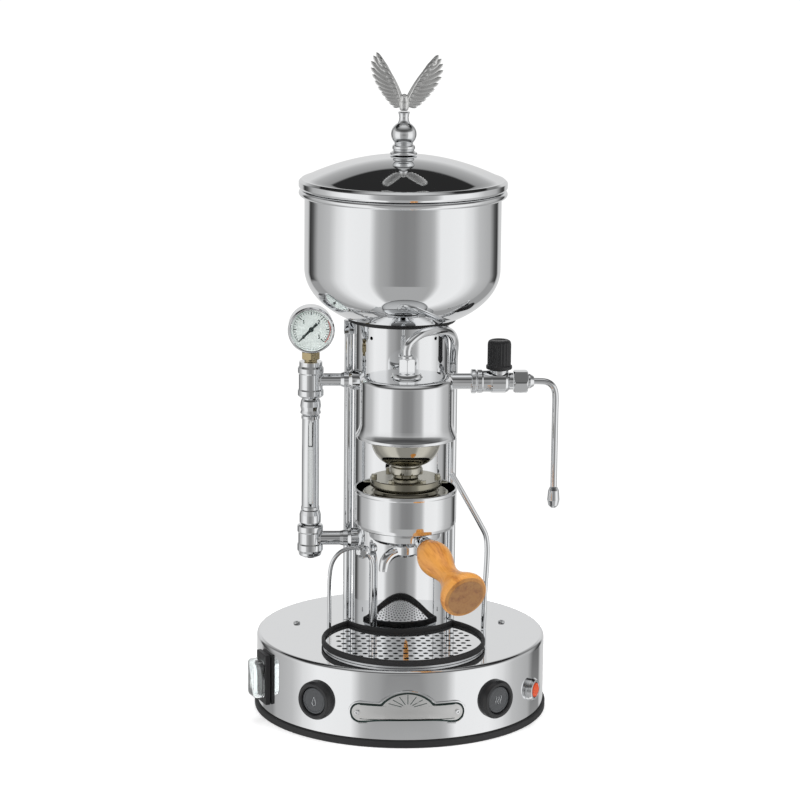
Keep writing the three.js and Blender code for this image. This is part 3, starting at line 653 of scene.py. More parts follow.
# Outline of the name plate, laid flat: a bar with round ends under an arch, shrunk by the given margin.
# An arch of half width w and rise h is part of a circle of radius (w w + h h) / 2 h.
def plateOutline(margin):
    low, high = plate["bottom"] + margin, plate["top"] - margin
    radius = (high - low) / 2
    middle = (high + low) / 2
    reach = plate["half"] - margin - radius
    right = ellipseArc((reach, middle), (radius, radius), -90, 90, 24)
    crest = np.linspace(1, -1, 41)
    half = plate["crestHalf"] - margin
    rise = plate["crest"] - plate["top"]
    curve = (half**2 + rise**2) / (2 * rise)
    hump = np.column_stack([crest * half, high - curve + rise + np.sqrt(curve**2 - (crest * half) ** 2)])
    left = ellipseArc((-reach, middle), (radius, radius), 90, 270, 24)
    return np.vstack([right, hump, left])


# Bends a flat shape round the base: x becomes an angle, y the distance from the axis, z stays.
def bendRound(shape):
    points = shape[0]
    angle = points[:, 0] / drumRadius
    return np.stack([points[:, 1] * np.sin(angle), -points[:, 1] * np.cos(angle), points[:, 2]], 1), shape[1]


# A flat field over an outline, cut into narrow strips so that it can bend: rows run from edge to edge.
def plateField(margin, inner, outer):
    outline = plateOutline(margin)
    x, z = np.meshgrid(np.arange(-44, 45, 4.0), np.arange(plate["bottom"] + margin + 3, 49, 3.5), indexing="ij")
    fits = (abs(x) < plate["half"] - margin - 6) & (z < plate["top"] - margin - 2)
    spots = np.vstack([outline, np.stack([x[fits], z[fits]], 1)])
    points, faces = slab(spots, [np.arange(len(outline))], inner, outer, 1)
    return bendRound((points[:, [0, 2, 1]], faces))


# Outline of a thin flat bar between two points.
def barOutline(start, end, width, steps=2):
    start, end = np.array(start, float), np.array(end, float)
    across = np.array([end[1] - start[1], start[0] - end[0]])
    across *= width / 2 / np.linalg.norm(across)
    line = start + (end - start) * np.linspace(0, 1, steps)[:, None]
    return np.vstack([line + across, (line - across)[::-1]])[::-1]


def plateBar(start, end, width, inner, outer):
    points, faces = prism(barOutline(start, end, width, 12), inner, outer)
    return bendRound((points[:, [0, 2, 1]], [face[::-1] for face in faces]))


# A polished frame, a black sheet of painted shade in the groove inside it and a raised satin field with a fan of
# lines in the arch.
def makePlate():
    base = drumRadius + 0.3
    # Painted shade: a black sheet under the field's edge stands in for the shadow in the recessed groove.
    makePiece("plateGroove", plateField(plate["border"] - 0.4, base, base + 0.25), blackInk, crease=25)
    makePiece("plateField", plateField(plate["groove"], base + 0.2, base + 1.1), plateSatin, crease=25)
    frameSteps = [(0, base), (0, base + 1.4), (0.25, base + 1.7), (plate["border"] - 0.25, base + 1.7),
        (plate["border"], base + 1.4), (plate["border"], base)]
    rings = [np.insert(plateOutline(margin), 1, out, 1) for margin, out in frameSteps]
    border = bendRound(closedGrid(np.array(rings)[:, ::-1], True))
    screws = [onWall(moved(facingFront(socketScrew(2.3, 1.6)), (0, -base - 0.5, 0)), turn, 29.5)
        for turn in (-19.4, 19.4)]
    makePiece("namePlate", joined(border, *screws), chrome, crease=40)
    level = base + 1.15
    marks = [plateBar((-40, z), (40, z), 0.5, base + 1, level) for z in (24.2, 36.4)]
    for angle in range(-60, 61, 20):
        sine, cosine = math.sin(angle * degree), math.cos(angle * degree)
        reach = 12.5 - 3.0 * abs(sine)
        marks.append(plateBar((6 * sine, 34 + 4.4 * cosine), (6 * sine + reach * sine * 1.25, 34 + reach * cosine),
            0.6, base + 1, level))
    makePiece("plateMarks", joined(*marks), blackInk, crease=25)


button = {"seat": 0.4, "bezelRadius": 16.5, "bezelDepth": 5.6, "bore": 11.9, "face": 11.4, "proud": 4.0}


# The wall's curve falls away behind a flat bezel, so its skirt reaches back to the wall.
def makeButton(title, body, angle, icon):
    seat, height = drumRadius + button["seat"], wall["buttonHeight"]
    outer = seat + button["bezelDepth"]
    corners = [(button["bore"], 118), (13, 118), (13, seat - 1.3), (button["bezelRadius"], seat - 1.3, 0.2),
        (button["bezelRadius"], outer - 2.6, 0.8), (15.0, outer, 0.9), (12.7, outer, 0.5),
        (button["bore"], outer - 1.0, 0.4)]
    bezel = facingFront(lathe(corners, 128, 5, True))
    makePiece(title + "Bezel", onWall(bezel, angle, height), blackPlastic)
    face = seat + button["proud"]
    dish = [(0, 106), (4, 106), (4, 119), (button["face"], 119), (button["face"], face, 0.9),
        (9.6, face + 0.3, 0.6), (9.0, face - 0.1, 0.3), (0, face - 0.3)]
    push = facingFront(lathe(dish, 128))
    makePiece(title, onWall(push, angle, height), buttonPlastic, body)
    mark = moved(icon, (0, -face + 0.25, 0))
    makePiece(title + "Mark", onWall(mark, angle, height), paleInk, body)


# A line drawn on a face: a thin flat strip along points in the upright plane.
def strip(points, width, depth=0.12):
    return sweep(np.insert(points, 1, 0, 1), width / 2, 8, depth / width)


def dropIcon():
    t = np.linspace(0, 2 * math.pi, 49)
    drop = np.stack([2.6 * np.sin(t) * np.sin(t / 2) ** 1.5, 3.9 * np.cos(t) - 0.2], 1)
    return strip(drop, 1.3)


def steamIcon():
    t = np.linspace(-1, 1, 25)
    waves = [strip(np.stack([x + 0.7 * np.sin(t * math.pi), t * 3.4], 1), 1.0) for x in (-2.6, 0, 2.6)]
    return joined(*waves)


lampSize = {"bezel": 10.0, "lens": 6.2, "depth": 5.0}


def makeLamp():
    seat = drumRadius + 0.4
    corners = [(5.6, 119), (6.8, 119), (6.8, seat - 0.6), (lampSize["bezel"], seat - 0.6, 0.2),
        (lampSize["bezel"], seat + 2.4, 1.2), (8.4, seat + lampSize["depth"], 0.8), (6.6, seat + lampSize["depth"],
        0.4), (6.6, 122), (5.6, 122)]
    makePiece("lampBezel", onLamp(lathe(corners, 96, 5, True)), chrome)
    dome = ellipseArc((0, seat + 4.0), (lampSize["lens"], 3.0), 0, 90, 14)
    lens = revolve(np.vstack([[(0, 122.4), (lampSize["lens"], 122.4)], dome[:-1], [(0, seat + 7.0)]]), 64)
    makePiece("lampLens", onLamp(lens), lampPlastic)


switch = {"seat": 0.4, "frame": (11, 22), "hole": (7.5, 13.5), "frameDepth": 4.0, "cover": (9.5, 16, 139.0)}


# One ring of the boot: a rounded box of the given half width and half height, at a distance out.
def bootRing(width, height, out, corner=3.2):
    quarter = np.arange(48) // 12
    angle = (quarter * 90 + (np.arange(48) % 12) / 11 * 90) * degree
    x = np.array([1, -1, -1, 1])[quarter] * (width - corner) + corner * np.cos(angle)
    z = np.array([1, 1, -1, -1])[quarter] * (height - corner) + corner * np.sin(angle)
    return np.stack([x, np.full(48, -out), z], 1)


def makeSwitch():
    seat = drumRadius + switch["seat"]
    wide, tall = switch["frame"]
    holeWide, holeTall = switch["hole"]
    front = seat + switch["frameDepth"]
    frameShape = carved(boxShape((-wide, -front, -tall), (wide, -seat + 0.4, tall)),
        boxShape((-holeWide, -front - 1, -holeTall), (holeWide, -seat + 5, holeTall)))
    makePiece("switchFrame", onSwitch(frameShape), blackPlastic, bevel=0.8)
    # side view of the rocker: [height, distance out], carried across its width
    t = np.linspace(-1, 1, 21)
    dished = np.column_stack([t * 12.6, 131.2 + 1.0 * t + 0.9 * t**2])
    side = np.vstack([[(-12.6, 127.5), (-5, 116), (5, 116), (12.6, 127.5)], dished[::-1]])
    rings = [np.insert(side[:, ::-1] * (-1, 1), 0, x, 1) for x in (-6.8, 6.8)]
    rocker = closedGrid(np.array(rings)[:, ::-1])
    makePiece("switchRocker", onSwitch(rocker), blackPlastic, "rocker_body", bevel=0.7)
    coverWide, coverTall, coverOut = switch["cover"]
    outside = [(0, 130.2), (0, 134), (0.15, 136.6), (0.8, 138.3), (2.2, coverOut)]
    inside = [(2.4, coverOut - 0.9), (1.6, 137.4), (1.0, 136.0), (0.9, 130.2)]
    rings = [bootRing(coverWide - less, coverTall - less, out) for less, out in outside]
    rings += [bootRing(0.4, 0.4, out, 0.2) for out in (coverOut, coverOut - 0.9)]
    rings += [bootRing(coverWide - less, coverTall - less, out) for less, out in inside]
    boot = closedGrid(np.array(rings), True)
    makePiece("switchBoot", onSwitch(boot), clearPlastic, node="switch_cover", crease=60)


def makeInlet():
    back = drumRadius + 0.5
    body = carved(boxShape((-17, back, 19), (17, back + 3, 45)), boxShape((-11.2, back - 1, 25),
        (11.2, back + 5, 39)))
    makePiece("powerInlet", body, blackPlastic, bevel=0.8)
    socket = carved(boxShape((-14, 103, 22), (14, back + 0.4, 42)), boxShape((-11, 107, 25), (11, 140, 39)))
    pins = [boxShape((x - 1.2, 106, z - 2), (x + 1.2, 122, z + 2)) for x, z in ((-7, 31), (0, 33.5), (7, 31))]
    makePiece("inletSocket", socket, blackPlastic, bevel=0.4)
    makePiece("inletPins", joined(*pins), plainBrass, bevel=0.3)


def makeTopScrews():
    spots = [wall["screwSpot"], (-wall["screwSpot"][0], wall["screwSpot"][1]), (0, 104)]
    screws = [moved(socketScrew(3.0, 1.5), (x, y, drumTop + 0.05)) for x, y in spots]
    makePiece("topScrews", joined(*screws), satinSteel)


makePlate()
makeButton("brewButton", "brew_button_body", -wall["buttonTurn"], dropIcon())
makeButton("steamButton", "steam_button_body", wall["buttonTurn"], steamIcon())
makeLamp()
makeSwitch()
makeInlet()
makeTopScrews()

print("column and water bowl")
sleeve = {"radius": 41.0, "length": 268.4, "wall": 2.0, "dotHeight": 325, "dotTurn": 42, "dotRadius": 1.6}


def makeColumn():
    top = place("column_sleeve")[2][2]
    tube = roundTube(sleeve["radius"] - sleeve["wall"], sleeve["radius"], top - sleeve["length"], top, 0.5, 192)
    dot = facingFront(rod(sleeve["dotRadius"], 20, 60, 24))
    dots = [onWall(dot, turn, sleeve["dotHeight"]) for turn in (-sleeve["dotTurn"], sleeve["dotTurn"])]
    makePiece("columnSleeve", onColumn(carved(tube, *dots)), chrome)
    ringLow, ringHigh = place("bowl_seat_ring")[1:]
    seat = roundTube(36, 46.6, ringLow[2], ringHigh[2], 1.2, 128)
    makePiece("bowlSeatRing", onColumn(seat), blackRubber)


bowl = {"radius": 84.4, "wall": 1.6, "round": 52.0, "shoulder": 381.0, "rim": 89.4, "bead": 3.0}


def makeBowl():
    top = place("reservoir_bowl")[2][2]
    shoulder, radius, thick = bowl["shoulder"], bowl["radius"], bowl["wall"]
    outside = ellipseArc((0, shoulder), (radius, bowl["round"]), -54.6, 0, 28)
    inside = ellipseArc((0, shoulder), (radius - thick, bowl["round"] - thick), 0, -50, 24)
    bead = ellipseArc((bowl["rim"] - 3.2, top - bowl["bead"]), (3.2, bowl["bead"]), -120, 90, 14)
    wallLine = [(radius, shoulder + 20), (radius, top - 8), (radius + 0.3, top - 6)]
    profile = np.vstack([[(0, 341), (46.5, 341), (47.2, 340.6), (47.4, 339.2)], outside, wallLine, bead,
        [(radius - thick + 0.5, top), (radius - thick, top - 0.6)], inside, [(48, 343), (0, 343)]])
    makePiece("waterBowl", onColumn(revolve(profile, 256)), chrome, node="reservoir_bowl", crease=40)


lid = {"rim": 89.4, "rimHigh": 458.0, "thick": 1.2, "join": 85.4}


# Dome of the lid: h = rim + rise (1 - (r / join) squared).
def makeLid():
    low, high = place("lid")[1:]
    rise = high[2] - lid["rimHigh"] - 0.2
    r = np.linspace(lid["join"], 0, 28)
    dome = np.column_stack([r, lid["rimHigh"] + 0.2 + rise * (1 - (r / lid["join"]) ** 2)])
    under = np.column_stack([r * 0.985, dome[:, 1] - lid["thick"] - 0.4])[::-1]
    skirt = roundedProfile([(84.4, 455), (84.8, low[2] + 0.4, 0.3), (88, low[2], 0.8),
        (lid["rim"], low[2] + 2.2, 1.6), (lid["rim"], lid["rimHigh"] - 2.2, 1.6), (87, lid["rimHigh"], 1.0),
        (85.8, lid["rimHigh"] + 0.1)], 6)
    profile = np.vstack([under[:-1], skirt, dome])
    makePiece("lid", onColumn(revolve(profile, 256)), chrome, "lid_body", crease=45)


def makeStem():
    low, high = place("finial_stem")[1:]
    base = low[2]
    foot = [(0, base), (11.7, base, 0.5), (11.7, base + 1.6, 0.7), (10.2, base + 2.2, 0.4), (8.8, base + 3.4, 0.6),
        (9.9, base + 5.2, 1.2), (9.6, base + 7.6, 1.5), (7.6, base + 9.0, 0.5), (8.3, base + 9.8, 0.5),
        (7.4, base + 10.8, 0.4)]
    ball = ellipseArc((0, 496.4), (11.0, 10.6), -46, 62, 22)
    neck = [(4.9, 506.6), (4.3, 508.0), (4.0, 510.5), (4.4, 513.0), (5.0, 514.6), (4.6, high[2] - 0.2), (0, high[2])]
    profile = np.vstack([roundedProfile(foot, 4)[:-1], ball, neck])
    makePiece("finialStem", onColumn(revolve(profile, 96)), chrome, "lid_body", crease=40)


# One feather: a flat tapering blade along a curve that starts at its root and bends towards its tip.
def feather(root, tip, width, bend, thick=0.55):
    root, tip = np.array(root, float), np.array(tip, float)
    t = np.linspace(0, 1, 14)[:, None]
    along = tip - root
    across = np.array([along[2], 0, -along[0]]) / np.linalg.norm(along)
    path = root + along * t + across * bend * np.sin(t * math.pi) + np.array([0, 1.0, 0]) * (t**2) * 1.2
    t = t[:, 0]
    radius = width / 2 * np.clip(np.minimum(0.45 + 1.6 * t, 1.0) * np.sqrt(np.clip(1 - t**4, 0, 1)), 0.03, 1)
    return flatSweep(path, radius, thick)


# A sweep whose section lies flat in the wing: wide in the upright plane, thin from front to back.
def flatSweep(path, radius, thick, sides=12):
    ahead = np.gradient(path, axis=0)
    ahead /= np.linalg.norm(ahead, axis=1)[:, None]
    thin = np.broadcast_to(np.array([0.0, 1.0, 0.0]), path.shape)
    side = np.cross(thin, ahead)
    side /= np.linalg.norm(side, axis=1)[:, None]
    angle = np.arange(sides)[None, :, None] * 2 * math.pi / sides
    depth = np.minimum(thick, radius)[:, None, None]
    wide = radius[:, None, None] * np.cos(angle) * side[:, None]
    grid = path[:, None] + wide + depth * np.sin(angle) * thin[:, None]
    return closedGrid(grid[:, ::-1])


# Each wing, in millimetres out from the middle and up from the bird's foot: the arm from the shoulder to the wrist,
# then the feather tips from the wing's own tip down to the body.
wings = [{"side": 1, "arm": [(1.5, 8), (4.6, 14), (8.6, 21.5), (14.2, 30), (21, 38.4), (27, 44.6)],
    "tips": [(28.8, 47.3), (31.4, 44), (32.9, 39.6), (33.1, 34.2), (31.8, 28.4), (29.2, 23), (26, 18.2),
    (22.6, 13.8), (19, 9.8), (15.4, 6.2), (11.6, 3.6)]},
    {"side": -1, "arm": [(1.5, 8), (3.4, 13), (5.6, 19), (9.6, 27.4), (15.6, 37), (21.4, 45)],
    "tips": [(23.8, 49.3), (26.6, 46.4), (28.5, 41.8), (28.6, 36.2), (27.4, 30.4), (25.2, 25), (22.4, 19.8),
    (19.4, 15), (16.2, 10.6), (13, 6.8), (9.8, 3.8)]}]


# Long feathers fan out from the arm, shorter ones lie over their roots in two rows, in front and behind.
def makeWing(wing, foot):
    side = wing["side"]

    def spot(x, z, y=0.0):
        return np.array([x * side, y, foot + z])

    arm = smoothCurve([spot(*point) for point in wing["arm"]], 6)
    radius = np.interp(np.linspace(0, 1, len(arm)), [0, 0.2, 0.7, 1], [2.2, 2.0, 1.4, 0.7])
    parts = [sweep(arm, radius, 16, 0.8)]
    count = len(wing["tips"])
    for face in (-1, 1):
        for index, tip in enumerate(wing["tips"]):
            share = 0.93 - 0.9 * index / (count - 1)
            root = arm[int(max(share * 0.72, 0.02) * (len(arm) - 1))]
            parts.append(feather(root + (0, 0.35 * face, 0), spot(*tip, 0.5 * face), 5.4, 0.9 * side, 0.62))
            root = arm[int(max(share, 0.02) * (len(arm) - 1))]
            for reach, lift in ((0.62, 0.75), (0.36, 1.1)):
                end = root + (spot(*tip) - root) * reach + (0, lift * face, 0)
                parts.append(feather(root + (0, lift * 0.8 * face, 0), end, 4.0, 0.6 * side, 0.6))
    return parts


def makeBird():
    foot = place("finial_bird")[1][2]
    parts = makeWing(wings[0], foot) + makeWing(wings[1], foot)
    body = smoothCurve([(0, 0.8, foot + 0.4), (0, 0.4, foot + 3), (0, 0, foot + 6), (0, -0.4, foot + 8.6),
        (0, -1.2, foot + 10.6), (0, -1.8, foot + 12.4), (0, -2.0, foot + 14.4)], 6)
    bodyRadius = np.interp(np.linspace(0, 1, len(body)), [0, 0.15, 0.4, 0.6, 0.72, 0.86, 0.96, 1],
        [3.4, 4.1, 4.5, 3.6, 3.0, 3.1, 1.8, 0.4])
    parts.append(sweep(body, bodyRadius, 32, 0.85))
    beak = smoothCurve([(0, -4.0, foot + 12.8), (0, -4.8, foot + 12.2), (0, -4.95, foot + 11.2)], 4)
    parts.append(sweep(beak, np.linspace(0.9, 0.15, len(beak)), 12))
    parts += [feather((x * 0.3, 1.2, foot + 4), (x, 3.4, foot + 0.5), 2.6, 0) for x in (-2.6, 0, 2.6)]
    makePiece("finialBird", onColumn(joined(*parts)), castPlating, "lid_body", crease=50)


makeColumn()
makeBowl()
makeLid()
makeStem()
makeBird()

print("risers and group")
riser = {"radius": 3.75, "apart": 45.4, "y": 33.0}


def makeRisers():
    low, high = place("feed_riser")[1:]
    left = np.array([(-riser["apart"], riser["y"], z) for z in np.linspace(low[2], high[2] - 12, 12)])
    nut = moved(hexNut(8.8, high[2] - 12.4, high[2], 0.8, turn=12), (-riser["apart"], riser["y"], 0))
    makePiece("feedRiser", joined(sweep(left, riser["radius"], 32), nut), chrome)
    x, y = riser["apart"], riser["y"]
    upright = np.array([(x, y, z) for z in np.linspace(66.6, 284, 12)])
    arch = smoothCurve([(x, y, 284), (x, y, 300), (45.2, 22, 318), (39, -2, 330.5), (27, -28, 336.5),
        (13, -47, 337.5), (3, -56, 332), (0, groupY, 326), (0, groupY, 319.6)], 10)
    makePiece("brewPipe", sweep(np.vstack([upright[:-1], arch]), riser["radius"], 32), chrome)


cap = {"radius": 36.6, "bottom": 251.5, "lip": 42.4, "top": 302.8, "wall": 2.4}


# The group's upper can: a straight wall on a flared lip, with a raised boss and a nut where the pipe enters.
def makeCap():
    top, bottom, radius = cap["top"], cap["bottom"], cap["radius"]
    flare = smoothCurve([(41.6, bottom + 3.6), (40.4, bottom + 6.0), (39.5, bottom + 8.6), (38.9, bottom + 12)], 5)
    shoulder = ellipseArc((34.2, 297.9), (4.7, 4.7), 0, 82, 12)
    roof = [(30, top - 0.02), (13.4, top), (12.7, top + 0.5), (12.1, top + 2.4), (11.4, top + 3.1), (0, top + 3.1)]
    inside = [(0, top - cap["wall"]), (33.6, top - cap["wall"]), (36.2, 297.6), (radius, 296), (radius, bottom)]
    lip = [(cap["lip"] - 0.4, bottom), (cap["lip"], bottom + 0.5), (cap["lip"], bottom + 2.2), (42.0, bottom + 3.0)]
    profile = np.vstack([inside, lip, flare, shoulder, roof])
    nut = hexNut(13.2, 305.6, 318.9, 1.2, turn=12)
    collar = lathe([(4.0, 318.6), (5.2, 318.6, 0.3), (5.2, 320.8, 0.8), (4.0, 321.4)], 48, 4, True)
    parts = joined(revolve(profile, 192), nut, collar)
    makePiece("groupCap", underGroup(parts), chrome, crease=35)


core = {"bolts": 6, "boltCircle": 26.6, "nose": 10.6, "armHeight": 237}


def makeCore():
    nose = ellipseArc((core["nose"], 251), (19.2, 23.0), -78, 0, 26)
    profile = np.vstack([[(0, 217.0), (10.4, 217.0), (10.8, 217.6), (10.8, 219.6), (13.2, 220.2), (13.7, 221.0),
        (13.7, 225.8), (13.2, 226.6), (12.2, 227.2), (12.2, 228.4)], nose, [(29.8, 262), (30, 300), (0, 300)]])
    body = revolve(profile, 160)
    pinch = hexNut(21.4, 220.4, 226.6, 1.0, turn=18)
    makePiece("groupBody", underGroup(joined(body, pinch)), warmNickel)
    arm = lathe([(0, 8.2), (10, 8.2), (10, 14.2), (13.8, 14.2, 0.8), (13.8, 20, 0.8), (10.2, 20.4), (10, 45),
        (0, 45)], 96, 4)
    makePiece("groupArm", moved(facingFront(arm), (0, 0, core["armHeight"])), chrome)


def makeHead():
    flange = lathe([(0, 196), (33.8, 196), (33.8, 183.4), (31.4, 183.4), (31.4, 180.5), (36.4, 180.5),
        (36.4, 205, 2.0), (28.5, 205, 1.0), (26.8, 207.4, 1.0), (26.8, 209.6, 0.6), (30.2, 210.4, 0.8),
        (30.2, 216.6, 0.9), (0, 216.6)], 160)
    parts = [flange]
    for index in range(core["bolts"]):
        turn = (index + 0.5) * 360 / core["bolts"]
        spot = np.array([math.sin(turn * degree), -math.cos(turn * degree), 0]) * core["boltCircle"]
        parts.append(moved(hexNut(4.6, 216.2, 219.4, 0.5, 48, turn=turn), spot))
    # The head's nickel is darkened as painted shade.
    makePiece("groupHead", underGroup(joined(*parts)), shadedNickel)
    outer = [(33.2, 175, 0.2), (41.2, 175, 1.4), (42.8, 178.6, 2.4), (43.0, 182, 3), (43.0, 204.6, 0.5),
        (43.5, 205.6, 0.5), (43.5, 208.2, 0.7), (41.6, 208.2, 0.4), (41.4, 181, 2), (40.4, 177.4, 1), (33.2, 177.4)]
    makePiece("headBell", underGroup(lathe(outer, 192, 5, True)), chrome, node="group_bell", crease=40)


def makeScreen():
    disc = lathe([(0, 192.6), (22, 192.6, 0.5), (24.4, 194.6, 0.5), (24.4, 195.7), (0, 195.7)], 96, 4)
    makePiece("showerScreen", underGroup(disc), satinSteel)
    seal = lathe([(25.2, 189.5, 0.8), (33.3, 189.5, 0.8), (33.3, 195.6), (25.2, 195.6)], 128, 4, True)
    makePiece("groupGasket", underGroup(seal), blackRubber)


makeRisers()
makeCap()
makeCore()
makeHead()
makeScreen()

print("filter holder")
holder = {"turn": 24.3, "droop": 19.5, "handleHeight": 177.5}


# Parts of the filter holder are drawn facing front, then turned about the group's axis.
def onGroup(shape):
    return underGroup(moved(shape, turn=rotation("Z", holder["turn"])))


def onHandle(shape):
    tilted = moved(facingFront(shape), turn=rotation("X", holder["droop"]))
    return onGroup(moved(tilted, (0, 0, holder["handleHeight"])))


def makeHolder():
    cup = lathe([(0, 163), (27, 163, 1.6), (30.4, 166.2, 1.4), (30.8, 171, 1), (30.8, 186.2, 0.4),
        (28.2, 186.2, 0.4), (28.2, 168, 2), (0, 166)], 128)
    parts = [cup]
    for start in (20, 200):
        angle = np.radians(np.linspace(start, start + 44, 24))
        outline = np.vstack([np.stack([33.2 * np.cos(angle), 33.2 * np.sin(angle)], 1),
            np.stack([30.2 * np.cos(angle), 30.2 * np.sin(angle)], 1)[::-1]])
        parts.append(prism(outline, 184, 186.1))
    makePiece("holderCup", onGroup(joined(*parts)), chrome, "portafilter_body", node="portafilter_head")
    neck = lathe([(0, 27.5), (7.6, 27.5), (6.5, 30.0, 1), (6.1, 32.9), (0, 32.9)], 64, 4)
    makePiece("holderNeck", onHandle(neck), chrome, "portafilter_body")
    basket = lathe([(0, 169), (22.8, 169, 1.0), (24.2, 171.5, 2), (27.2, 186.4, 0.5), (30.3, 186.4, 0.5),
        (30.3, 188.3, 0.6), (26.8, 188.3, 0.8), (23.0, 171.8, 1.4), (22.2, 170.2, 0.5), (0, 170.2)], 128)
    makePiece("filterBasket", onGroup(basket), satinSteel, "portafilter_body")


def makeSpout():
    block = lathe([(0, 147.6), (5.5, 147.8, 1), (8.6, 149, 1), (10.2, 151, 1), (10.2, 157.6, 0.8),
        (12, 159.2, 0.6), (12, 162.6), (0, 162.6)], 64, 4)
    parts = [block]
    for side in (-1, 1):
        bend = [(0, 153), (8, 152.6), (14.4, 150.4), (18.6, 145.6), (20, 140), (20.2, 137)]
        path = smoothCurve([(x * side, 0, z) for x, z in bend], 8)
        radius = np.interp(np.linspace(0, 1, len(path)), [0, 0.5, 0.85, 1], [5.0, 4.6, 4.2, 4.0])
        bore = moved(revolve([(0, -1), (3.0, -1), (3.0, 5), (0, 6.5)], 24), path[-1])
        parts.append(carved(sweep(path, radius, 32), bore))
    makePiece("twinSpout", onGroup(joined(*parts)), chrome, "portafilter_body")


def makeHandle():
    ferrule = lathe([(0, 33), (6.6, 33, 0.3), (7.2, 34.4, 0.8), (7.2, 38, 1.0), (9.5, 40.4, 0.6), (9.5, 41.8, 0.3),
        (0, 41.8)])
    makePiece("handleFerrule", onHandle(ferrule), chrome, "portafilter_body")
    belly = smoothCurve([(9.3, 42.6), (10.9, 45.6), (13.2, 51), (14.2, 57.5), (13.3, 64.6), (10.9, 72.6),
        (9.2, 80), (9.6, 87), (12.6, 95.4), (17.2, 103), (19.5, 107.4)], 8)
    end = roundedProfile([(19.5, 107.4), (20.1, 110.4, 1.8), (19.2, 113.8, 2.0), (15.6, 115.4, 3), (0, 115.6)], 6)
    grip = revolve(np.vstack([[(0, 42), (8.8, 42)], belly[:-1], end]), 128)
    makePiece("handleGrip", onHandle(grip), handleWood, "portafilter_body", crease=60)


along = rotation("Z", holder["turn"]) @ rotation("X", holder["droop"]) @ np.array([0, -1, 0])
handleWood = oiledWood("handle wood", (holder["droop"] * degree, 0, holder["turn"] * degree), along.tolist())
makeHolder()
makeSpout()
makeHandle()

print("steam side")
steam = {"y": 18.0, "z": 283.5, "valve": 84.0, "knobBottom": 11.2, "flutes": 18, "wandReach": 133.5}


# Fittings on a sideways pipe are drawn along an upright axis and laid over towards one side.
def alongX(shape, side, y, z):
    return moved(moved(shape, turn=rotation("Y", 90 * side)), (0, y, z))


def onSteam(shape):
    return alongX(shape, 1, steam["y"], steam["z"])


def makeSteamValve():
    pipe = lathe([(0, 36.6), (9.4, 36.6), (9.4, 39, 0.8), (7.4, 41.5, 1), (6.9, 44), (6.9, 59.8),
        (10.6, 59.8, 0.8), (10.6, 64, 0.8), (0, 64)])
    makePiece("steamPipe", onSteam(pipe), chrome)
    body = lathe([(0, 64.3), (9.2, 64.3, 0.3), (10.2, 65.4, 0.4), (10.2, 69, 0.3), (9.4, 70, 0.4), (9.4, 76),
        (10.0, 78, 1.0), (10.0, 89.4, 0.6), (9.0, 91.4, 0.8), (7.6, 92.8, 0.5), (7.4, 96.1), (0, 96.1)])
    bonnet = lathe([(0, 0), (7.9, 0), (7.9, 8.4, 0.3), (8.3, 9.0, 0.3), (8.3, 10.3, 0.3), (0, 10.7)], 64, 4)
    bonnet = moved(bonnet, (steam["valve"], steam["y"], steam["z"]))
    collar = hexNut(18.2, 65.6, 68.8, 0.8, turn=15)
    makePiece("steamValve", joined(onSteam(body), bonnet, onSteam(collar)), chrome, node="steam_valve_body")


# The knob's grip is fluted: its radius dips at each of the flutes, r = R - depth cos(flutes a) below zero.
def makeKnob():
    base = steam["z"] + steam["knobBottom"]
    rows = [(0, 0), (10.9, 0), (11.3, 0.5), (11.3, 2.6), (10.7, 3.2), (10.2, 3.6), (10.2, 5.0), (10.2, 14),
        (10.2, 21.4), (9.9, 23.2), (9.2, 24.4), (8.0, 25.1), (6.0, 25.2), (5.6, 24.9), (0, 24.7)]
    dips = [0, 0, 0, 0, 0, 0.1, 0.9, 0.9, 0.9, 0.7, 0.3, 0, 0, 0, 0]
    angle = np.arange(216) * 2 * math.pi / 216
    wave = np.clip(np.cos(angle * steam["flutes"]), -0.2, 1) * 0.5 + 0.1
    grid = np.array([np.column_stack([(r - dip * wave) * np.cos(angle), (r - dip * wave) * np.sin(angle),
        np.full(216, base + z)]) for (r, z), dip in zip(rows, dips)])
    knob = moved(closedGrid(grid), (steam["valve"], steam["y"], 0))
    makePiece("steamKnob", knob, blackPlastic, "knob_body", crease=40)


def makeWand():
    y, z = steam["y"], steam["z"]
    makePiece("wandNut", onSteam(hexNut(18.3, 96.5, 108.9, 1.4, turn=8)), chrome)
    reach = steam["wandReach"]
    ferrule = lathe([(0, 109.3), (6.4, 109.3, 0.4), (6.4, 111, 0.8), (4.4, 114.2, 0.6), (2.6, 114.8), (0, 114.8)],
        64, 4)
    bend = [(111, 0), (118, 0), (125, 0.6), (129.8, 3.2), (132.6, 8), (reach, 15), (reach, 28)]
    path = smoothCurve([(x, y, z - drop) for x, drop in bend], 8)
    tail = np.array([(reach, y, z - drop) for drop in np.linspace(32, 93.6, 6)])
    tube = sweep(np.vstack([path, tail]), 2.8, 32)
    makePiece("steamWand", joined(onSteam(ferrule), tube), chrome, "wand_body")
    low, high = place("wand_tip")[1:]
    tip = lathe([(0, low[2]), (2.3, low[2], 0.6), (4.4, low[2] + 2.2, 0.8), (5.4, low[2] + 7, 2),
        (4.7, high[2] - 3.4, 2), (3.2, high[2] - 0.2, 0.4), (0, high[2])], 64, 6)
    hole = moved(rod(0.5, 2, 8, 16), turn=rotation("Y", 128))
    holes = [onWall(hole, turn, low[2] + 4.6) for turn in (45, 135, 225, 315)]
    makePiece("wandTip", moved(carved(tip, *holes), (reach, y, 0)), chrome, "wand_body")


makeSteamValve()
makeKnob()
makeWand()

